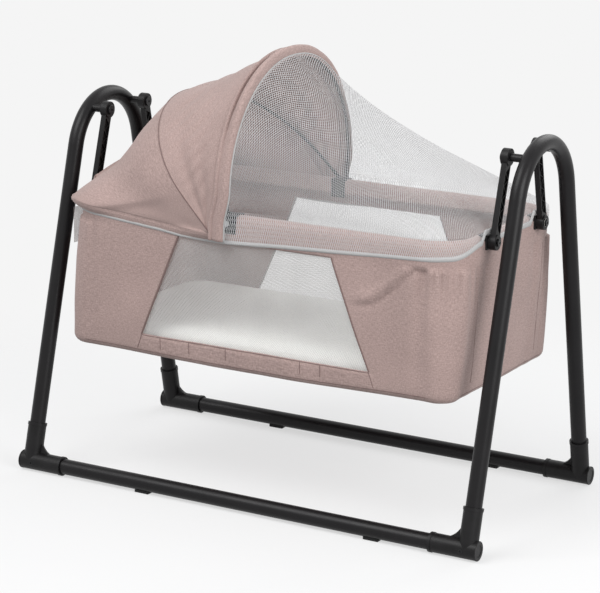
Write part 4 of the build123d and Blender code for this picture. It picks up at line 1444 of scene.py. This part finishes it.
    def seam_point(self, share: float) -> Vector:
        """Point on the seam between the hood's rear and front cloths."""
        lean = math.radians(self.mid_tilt)
        foot_x, foot_z = self.seam_foot
        start = (self.crest(foot_x) - self.hub_height) / math.cos(lean)
        half, rise = self.mid_half + self.seam_cover, self.mid_rise + self.seam_cover
        across, along = self.bow_place(share, half, rise, half - self.seam_shoulder, start)
        height = self.hub_height + along * math.cos(lean)
        x = foot_x + (height - foot_z) * math.tan(math.radians(self.seam_tilt))
        x = min(x, self.hub + along * math.sin(lean))
        top = self.hub_height + self.mid_rise * math.cos(lean)
        rise_share = (height - self.hem_foot) / (top - self.hem_foot)
        bulge_share = rise_share * self.bulge_slope + self.bulge_start
        bulge = self.seam_bulge * arch(min(1.0, max(0.0, bulge_share)))
        bulge = max(bulge, self.overhang(Vector((x, across, 0.0))) - (half - self.basket.outline.half_width))
        return Vector((x, across + math.copysign(bulge, across), height))

    def crest(self, distance: float) -> float:
        """Height where the hood's cloth turns into its lower band, at a distance along the edge."""
        place, _ = self.basket.outline.at(distance)
        band = self.band_height + self.band_end_rise * fade(*self.band_end_reach, place.x)
        level = self.basket.hem_height(distance, False) + band
        return max(level, self.basket.hem_height(distance) + self.band_least_height)

    def rim_distance(self, share: float) -> float:
        """Distance along the basket's edge at a share of the rear cloth's lower edge."""
        return self.basket.outline.half_round(share, self.seam_foot[0], End.HEAD)

    def rim_point(self, share: float) -> Vector:
        """Point where the hood's rear cloth meets its lower band round the head end."""
        distance = self.rim_distance(share)
        place, normal = self.basket.outline.at(distance)
        return Vector((place.x, place.y, self.crest(distance))) + normal * self.overhang(place)

    def overhang(self, place: Vector) -> float:
        """How far the hood's cloth stands out from the basket at the top of its lower band."""
        inner, outer = self.shoulder_reach
        hub = fade(*self.hub_reach, place.x)
        corner = fade(*self.corner_reach, place.x) * fade(inner, outer, abs(place.y))
        end = fade(*self.end_reach, place.x) * fade(outer, inner, abs(place.y))
        swell = self.hub_overhang * hub + self.corner_overhang * corner - self.end_set_back * end
        return self.band_overhang + swell

    def build(self) -> None:
        """Makes every piece of the hood and the net."""
        rear, rear_area, rear_flat = self._rear()
        front, front_area, front_flat = self._front()
        hem, hem_area, hem_flat = self._front_hem()
        skirt, skirt_area, skirt_flat = self._skirt()
        edge = self._net_edge()
        tent, tent_area, tent_flat = self._tent()
        apron, apron_area, apron_flat = self._apron()
        self._ridge_piping()
        for item in (rear, front, hem, skirt):
            self.wardrobe.dress(item, self.wardrobe.palette.linen)
        for item in (tent, apron):
            self.wardrobe.dress(item, self.wardrobe.palette.net)
        # The edging gets the tape's finish, whose white is darkened as painted shade.
        self.wardrobe.dress(edge, self.wardrobe.palette.binding_painted_shade)
        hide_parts("canopy_rear")
        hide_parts("canopy_front")
        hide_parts("front_hem")
        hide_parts("hood_skirt")
        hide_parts("net_edge")
        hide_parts("mosquito_net")
        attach(hem, "front_bow")
        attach(edge, "front_bow")
        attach(skirt, "basket")
        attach(tent, "basket")
        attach(apron, "basket")
        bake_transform(rear)
        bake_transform(front)
        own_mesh(tent)

    def _rows_between(
        self,
        first: Callable[[float], Vector],
        second: Callable[[float], Vector],
        count: int,
        shape: Callable[[float, float, Vector], Vector],
    ) -> Rows:
        """Fills rows of points between two edges.

        Args:
            first: Gives the first edge's point at a share along it.
            second: Gives the second edge's point.
            count: Steps between the edges.
            shape: Gives the shift of a point from its share along, its share across and its place.

        Returns:
            The rows.
        """
        rows = []
        for i in range(count + 1):
            across = i / count
            row = []
            for along in self._shares():
                point = first(along).lerp(second(along), across)
                row.append(point + shape(along, across, point))
            rows.append(row)
        return rows

    def _shares(self) -> list[float]:
        """Gives the shares of the columns along an arch, from 0 to 1."""
        return [j / self.columns for j in range(self.columns + 1)]

    def _outward(self, point: Vector) -> Vector:
        """Direction away from the middle of the space under the hood."""
        direction = point - Vector((self.middle_x, 0.0, self.hub_height + self.middle_rise))
        direction.x *= self.lengthwise_part
        return direction.normalized()

    def _rear(self) -> Sheet:
        """Makes the hood's rear cloth, from the seam down to the rim."""

        def shape(along: float, across: float, point: Vector) -> Vector:
            """Hollow and soft wrinkles of the rear cloth."""
            middle = fade(*self.rear_middle_reach, along) * fade(*self.rear_middle_reach, 1 - along)
            out = self.rear_waves.at(point) + self.rear_dents.at(point)
            out -= (self.rear_sag + self.rear_middle_sag * middle) * hump(across, *self.rear_sag_band)
            back, up, end_up = self.rear_pull
            sideways = -math.cos(math.pi * along)
            direction = Vector((-back * arch(along), sideways, up + end_up * arch(along)))
            shift = direction.normalized() * (out * arch(across))
            place = point + shift
            inside = fade(*self.rim_clearance_reach, self.basket.outline.depth(place))
            shift.z += max(0.0, self.basket.top + self.rim_clearance - place.z) * inside
            return shift

        rows = self._rows_between(self.seam_point, self.rim_point, 44, shape)
        return ClothGrid("hood_rear_cloth", rows).build(self.cloth_thickness)

    def _front(self) -> Sheet:
        """Makes the hood's front cloth, from the seam to the stitched line behind the front hem."""

        def second(share: float) -> Vector:
            """Edge under the front hem."""
            return self.front_point(share, self.hub - self.hem_back, -self.hem_lap)

        def shape(along: float, across: float, point: Vector) -> Vector:
            """Soft folds along the bows, slanting ones at the shoulders and short ones at the hub."""
            ends = fade(*self.front_end_reach, along) * fade(*self.front_end_reach, 1 - along)
            height, count = self.bow_folds
            folds = height * math.sin(math.pi * across * count + self.bow_fold_drift.at(point))
            height, count = self.slant_folds
            start_x, start_z = self.slant_fold_start
            pull = (point.z - start_z) * self.slant_fold_slope - (point.x - start_x)
            slant = height * math.sin(pull * count + self.slant_fold_drift.at(point))
            folds += slant * hump(point.z, *self.slant_fold_band) - self.front_sag
            height, count = self.hub_folds
            hub_pull = math.exp(-abs(point.z - self.hem_foot) / self.hub_fold_length)
            out = folds * ends + height * hub_pull * math.sin(point.x * count)
            out += self.front_waves.at(point * Vector(self.front_stretch)) + self.front_dents.at(point)
            return self._outward(point) * (out * arch(across))

        rows = self._rows_between(self.seam_point, second, 40, shape)
        return ClothGrid("hood_front_cloth", rows).build(self.cloth_thickness)

    def _front_hem(self) -> Sheet:
        """Makes the broad front hem with the bow's pocket and its stitched groove."""
        start, stop = self.hub - self.hem_back, self.hem_front
        rows = []
        for place, out in self.hem_profile:
            x = start + (stop - start) * place
            row = []
            for share in self._shares():
                crown = 1.0 + self.hem_crown * fade(*self.hem_crown_reach, self.front_point(share, x).z)
                point = self.front_point(share, x, out * crown - self.hem_set_in)
                row.append(point + self._outward(point) * self.hem_ripple.at(point))
            rows.append(row)
        return ClothGrid("front_hem_cloth", rows).build(self.cloth_thickness, -1.0)

    def _net_edge(self) -> bpy.types.Object:
        """Makes the white edging between the front hem and the net."""
        low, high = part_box("net_edge")
        last_row = 6
        length, rise = self.edging_radii
        rows = []
        for k in range(last_row + 1):
            angle = math.pi * k / last_row
            x = (low.x + high.x) / 2 - length * math.cos(angle) - self.edging_set_back
            swell = rise * math.sin(angle) - self.edging_set_in
            rows.append([self.front_point(share, x, swell) for share in self._shares()])
        item, _, _ = ClothGrid("net_edging", rows).build(self.edging_thickness, -1.0)
        return item

    def _skirt(self) -> Sheet:
        """Makes the hood's lower band round the head end, down to the white tape."""
        edge = self.basket.outline
        lead_steps, last_row = 6, 9
        lead_length = self.seam_foot[0] - self.band_start
        lead = [self.band_start + lead_length * k / lead_steps for k in range(lead_steps)]
        stations = lead + [self.rim_distance(k / (2 * self.columns)) for k in range(2 * self.columns + 1)]
        stations += [edge.opposite(spot, End.HEAD) for spot in lead[::-1]]
        groove, *groove_shape = self.skirt_groove
        rows: Rows = [[] for _ in range(last_row + 1)]
        for distance in stations:
            place, normal = edge.at(distance)
            top = self.crest(distance)
            drop = self.basket.hem_height(distance) + self.skirt_foot_lap - top
            over = self.overhang(place)
            for i, row in enumerate(rows):
                share = i / last_row
                height = top + drop * share
                out = over + (self.skirt_foot_overhang - over) * share ** self.skirt_curve
                out -= groove * hump(share, *groove_shape)
                if i == 0:
                    height += self.skirt_lip_rise
                    out -= self.skirt_lip_set_back
                spot = Vector((place.x, place.y, height))
                row.append(spot + normal * (out + self.skirt_ripple.at(spot)))
        return ClothGrid("hood_skirt_cloth", rows).build(self.cloth_thickness)

    def tent_rim(self, share: float) -> Vector:
        """Point where the net tent meets the foot end of the rim."""
        edge = self.basket.outline
        place, normal = edge.at(edge.half_round(share, self.hem_front + self.tent_rim_gap, End.FOOT))
        return Vector((place.x, place.y, self.tent_foot)) + normal * self.net_overhang(place)

    def net_overhang(self, place: Vector) -> float:
        """How far the net stands out from the basket, more where it passes over the hood's pivot."""
        start = self.hem_front + self.tent_gap - self.hem_retreat
        reach = [start + past for past in self.net_hub_reach]
        return self.net_stand_off + self.net_hub_stand_off * fade(*reach, place.x)

    def _tent(self) -> Sheet:
        """Makes the net from the front edging down to the foot end's rim."""
        start_x = self.hem_front + self.tent_gap

        def first(share: float) -> Vector:
            """Edge along the front bow."""
            return self.front_point(share, start_x, -self.tent_set_in, self.tent_foot)

        def shape(along: float, across: float, point: Vector) -> Vector:
            """Sag between the bow and the rim."""
            sag = (self.tent_waves.at(point) - self.tent_sag) * arch(across)
            sag -= self.tent_middle_sag * arch(across ** self.tent_sag_lean) * arch(along) ** 2
            centre = Vector((point.x, 0.0, self.hub_height))
            return (point - centre).normalized() * sag

        rows = self._rows_between(first, self.tent_rim, 60, shape)
        return ClothGrid("net_tent", rows).build(0.0)

    def _apron(self) -> Sheet:
        """Makes the net's lower band over the rim, down to the white tape."""
        edge = self.basket.outline
        last_row, column_steps = 8, 260
        rows = []
        for i in range(last_row + 1):
            share = i / last_row
            level = self.tent_foot + (self.hem_foot - self.tent_foot) * share
            retreat = self.hem_retreat * fade(*self.hem_retreat_reach, level)
            near_start = self.hem_front + self.tent_gap - retreat
            length = edge.of_side(Side.FAR, near_start) - near_start
            row = []
            for j in range(column_steps + 1):
                distance = near_start + length * j / column_steps
                place, normal = edge.at(distance)
                height = self.tent_foot + (self.basket.hem_height(distance) - self.tent_foot) * share
                out = self.net_overhang(place) + self.apron_puff * arch(share)
                row.append(Vector((place.x, place.y, height)) + normal * out)
            rows.append(row)
        return ClothGrid("net_apron", rows).build(0.0)

    def _ridge_piping(self) -> None:
        """Makes the welt along the seam over the middle bow."""
        steps = 60
        points = [self.seam_point(j / steps) for j in range(steps + 1)]
        line = [point + self._outward(point) * self.welt_lift for point in points]
        welt = cord_mesh("hood_seam_welt", [line], self.welt_radius)
        self.wardrobe.dress(welt, self.wardrobe.palette.piping)
        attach(welt, "mid_bow")


@dataclass
class Stand:
    """Finishes of the stand, the arms, the brackets and the bows."""

    wardrobe: Wardrobe

    def build(self) -> None:
        """Dresses every rigid node of the frame."""
        palette = self.wardrobe.palette
        ends = [end.name.lower() for end in End]
        sides = [side.name.lower() for side in Side]
        corners = [f"{end}_{side}" for end in ends for side in sides]
        dress = self.wardrobe.dress_nodes
        dress(palette.tube, *[f"side_rail_{side}" for side in sides])
        for family in ("end_frame", "rim_tube"):
            dress(palette.tube, *[f"{family}_{end}" for end in ends])
        dress(palette.tube, "rim_joiners", "pivot_pins", "mid_bow", "front_bow")
        for family in ("elbow", "swing_arm", "hanger_bracket"):
            dress(palette.moulding, *[f"{family}_{corner}" for corner in corners])
        dress(palette.moulding, *[f"hood_clip_{side}" for side in sides])
        dress(palette.moulding, "end_caps", "mid_bow_lugs", "front_bow_lugs")
        dress(palette.bush, *[f"arm_bushes_{corner}" for corner in corners])
        dress(palette.screw, "elbow_screws", "upper_pivot_screws", "lower_pivot_screws")
        dress(palette.steel, "hood_pins")
        dress(palette.rubber, "floor_pads")
        dress(palette.board, "base_board")


@dataclass(frozen=True)
class Lamp:
    """Square soft lamp, with its side in metres and its power in watts."""

    name: str
    place: Triple
    size: float
    power: float


@dataclass
class Studio:
    """Floor, light and camera. Angles are in degrees, the lens and its sensor in millimetres."""

    camera_place: Triple = (2.25992, -4.15753, 1.53848)
    azimuth: float = 28.801
    elevation: float = 13.701
    roll: float = 1.444
    lens: float = 142.84
    sensor: float = 36.0
    view_reach: float = 100.0
    floor_size: float = 6.0
    floor_clear: float = 0.75
    floor_end: float = 1.7
    floor_roughness: float = 0.95
    floor_gloss: float = 0.1
    floor_paper: Colour = (0.38, 0.38, 0.38)
    floor_seen: Colour = (0.30, 0.30, 0.30)
    floor_white: float = 0.59
    paper: Colour = (0.913, 0.913, 0.913)
    sky: Colour = (0.95, 0.97, 1.0)
    sky_strength: float = 0.54
    lamp_aim: Triple = (0.0, 0.0, 0.45)
    lamps: tuple[Lamp, ...] = (
        Lamp("key_lamp", (-1.3, -2.2, 3.3), 2.4, 92.0),
        Lamp("fill_lamp", (3.0, -1.3, 1.8), 2.0, 72.0),
        Lamp("back_lamp", (0.4, 2.6, 2.6), 2.2, 34.0),
    )

    def build(self) -> None:
        """Sets up the whole studio."""
        self._camera()
        self._floor()
        self._world()
        self._lamps()
        bpy.context.scene.view_settings.view_transform = "Standard"

    def _camera(self) -> None:
        """Places the camera as the photograph has it."""
        turn, tilt, roll = (math.radians(angle) for angle in (self.azimuth, self.elevation, self.roll))
        back = Vector((math.sin(turn) * math.cos(tilt), -math.cos(turn) * math.cos(tilt), math.sin(tilt)))
        level = Vector((math.cos(turn), math.sin(turn), 0.0))
        upright = back.cross(level)
        right = math.cos(roll) * level + math.sin(roll) * upright
        up = -math.sin(roll) * level + math.cos(roll) * upright
        data = bpy.data.cameras.new("photo_camera")
        data.lens = self.lens
        data.sensor_width = self.sensor
        data.clip_end = self.view_reach
        camera = new_piece("photo_camera", data)
        pose = Matrix((right, up, back)).transposed().to_4x4()
        camera.matrix_world = Matrix.Translation(Vector(self.camera_place)) @ pose
        bpy.context.scene.camera = camera

    def _seen(self, graph: Graph) -> bpy.types.NodeSocket:
        """Tells the rays that the camera follows, straight or by way of gloss and openings, from the rest."""
        return graph.any_ray("Is Camera Ray", "Is Glossy Ray", "Is Transmission Ray")

    def _floor(self) -> None:
        """Makes the pale floor, which keeps the crib's shadow and fades out towards its edge."""
        select_only(None)
        bpy.ops.mesh.primitive_plane_add(size=self.floor_size, location=(0.0, 0.0, 0.0))
        floor = bpy.context.active_object
        floor.name = "studio_floor"
        graph = Graph.of_material("studio_paper")
        plain = graph.add("BsdfPrincipled", Base_Color=(*self.floor_paper, 1.0))
        plain.inputs["Roughness"].default_value = self.floor_roughness
        plain.inputs["Specular IOR Level"].default_value = self.floor_gloss
        bright = graph.add("AddShader")
        graph.join(graph.add("BsdfDiffuse", Color=(*self.floor_seen, 1.0)).outputs[0], bright.inputs[0])
        graph.join(graph.add("Emission", Strength=self.floor_white).outputs[0], bright.inputs[1])
        paper = graph.mixed(self._seen(graph), plain, bright)
        place = graph.add("VectorMath", operation="LENGTH")
        graph.join(graph.mapped("Object"), place.inputs[0])
        edge = graph.add("MapRange", interpolation_type="SMOOTHSTEP")
        edge.inputs["From Min"].default_value = self.floor_clear
        edge.inputs["From Max"].default_value = self.floor_end
        graph.join(place.outputs["Value"], edge.inputs["Value"])
        faded = graph.mixed(edge.outputs["Result"], paper, graph.add("BsdfTransparent"))
        floor.data.materials.append(graph.finish(faded))

    def _world(self) -> None:
        """Makes the white surroundings, seen as the background and in gloss."""
        world = bpy.data.worlds.new("studio_world")
        bpy.context.scene.world = world
        graph = Graph(world, "OutputWorld")
        light = graph.add("Background", Color=(*self.sky, 1.0), Strength=self.sky_strength)
        seen = graph.add("Background", Color=(*self.paper, 1.0), Strength=1.0)
        graph.finish(graph.mixed(self._seen(graph), light, seen))

    def _lamps(self) -> None:
        """Places the soft lamps: one large from above on the left, one low from the right, one behind."""
        for lamp in self.lamps:
            data = bpy.data.lights.new(lamp.name, "AREA")
            data.shape = "SQUARE"
            data.size = lamp.size
            data.energy = lamp.power
            item = new_piece(lamp.name, data)
            item.location = lamp.place
            aim = Vector(self.lamp_aim) - Vector(lamp.place)
            item.rotation_euler = aim.to_track_quat("-Z", "Y").to_euler()


def main() -> None:
    """Builds the scene piece by piece."""
    logging.basicConfig(level=logging.INFO, format="%(name)s: %(message)s")
    wardrobe = Wardrobe()
    Studio().build()
    Stand(wardrobe).build()
    basket = Basket(wardrobe)
    basket.build()
    Hood(wardrobe, basket).build()


if __name__ == "__main__":
    main()
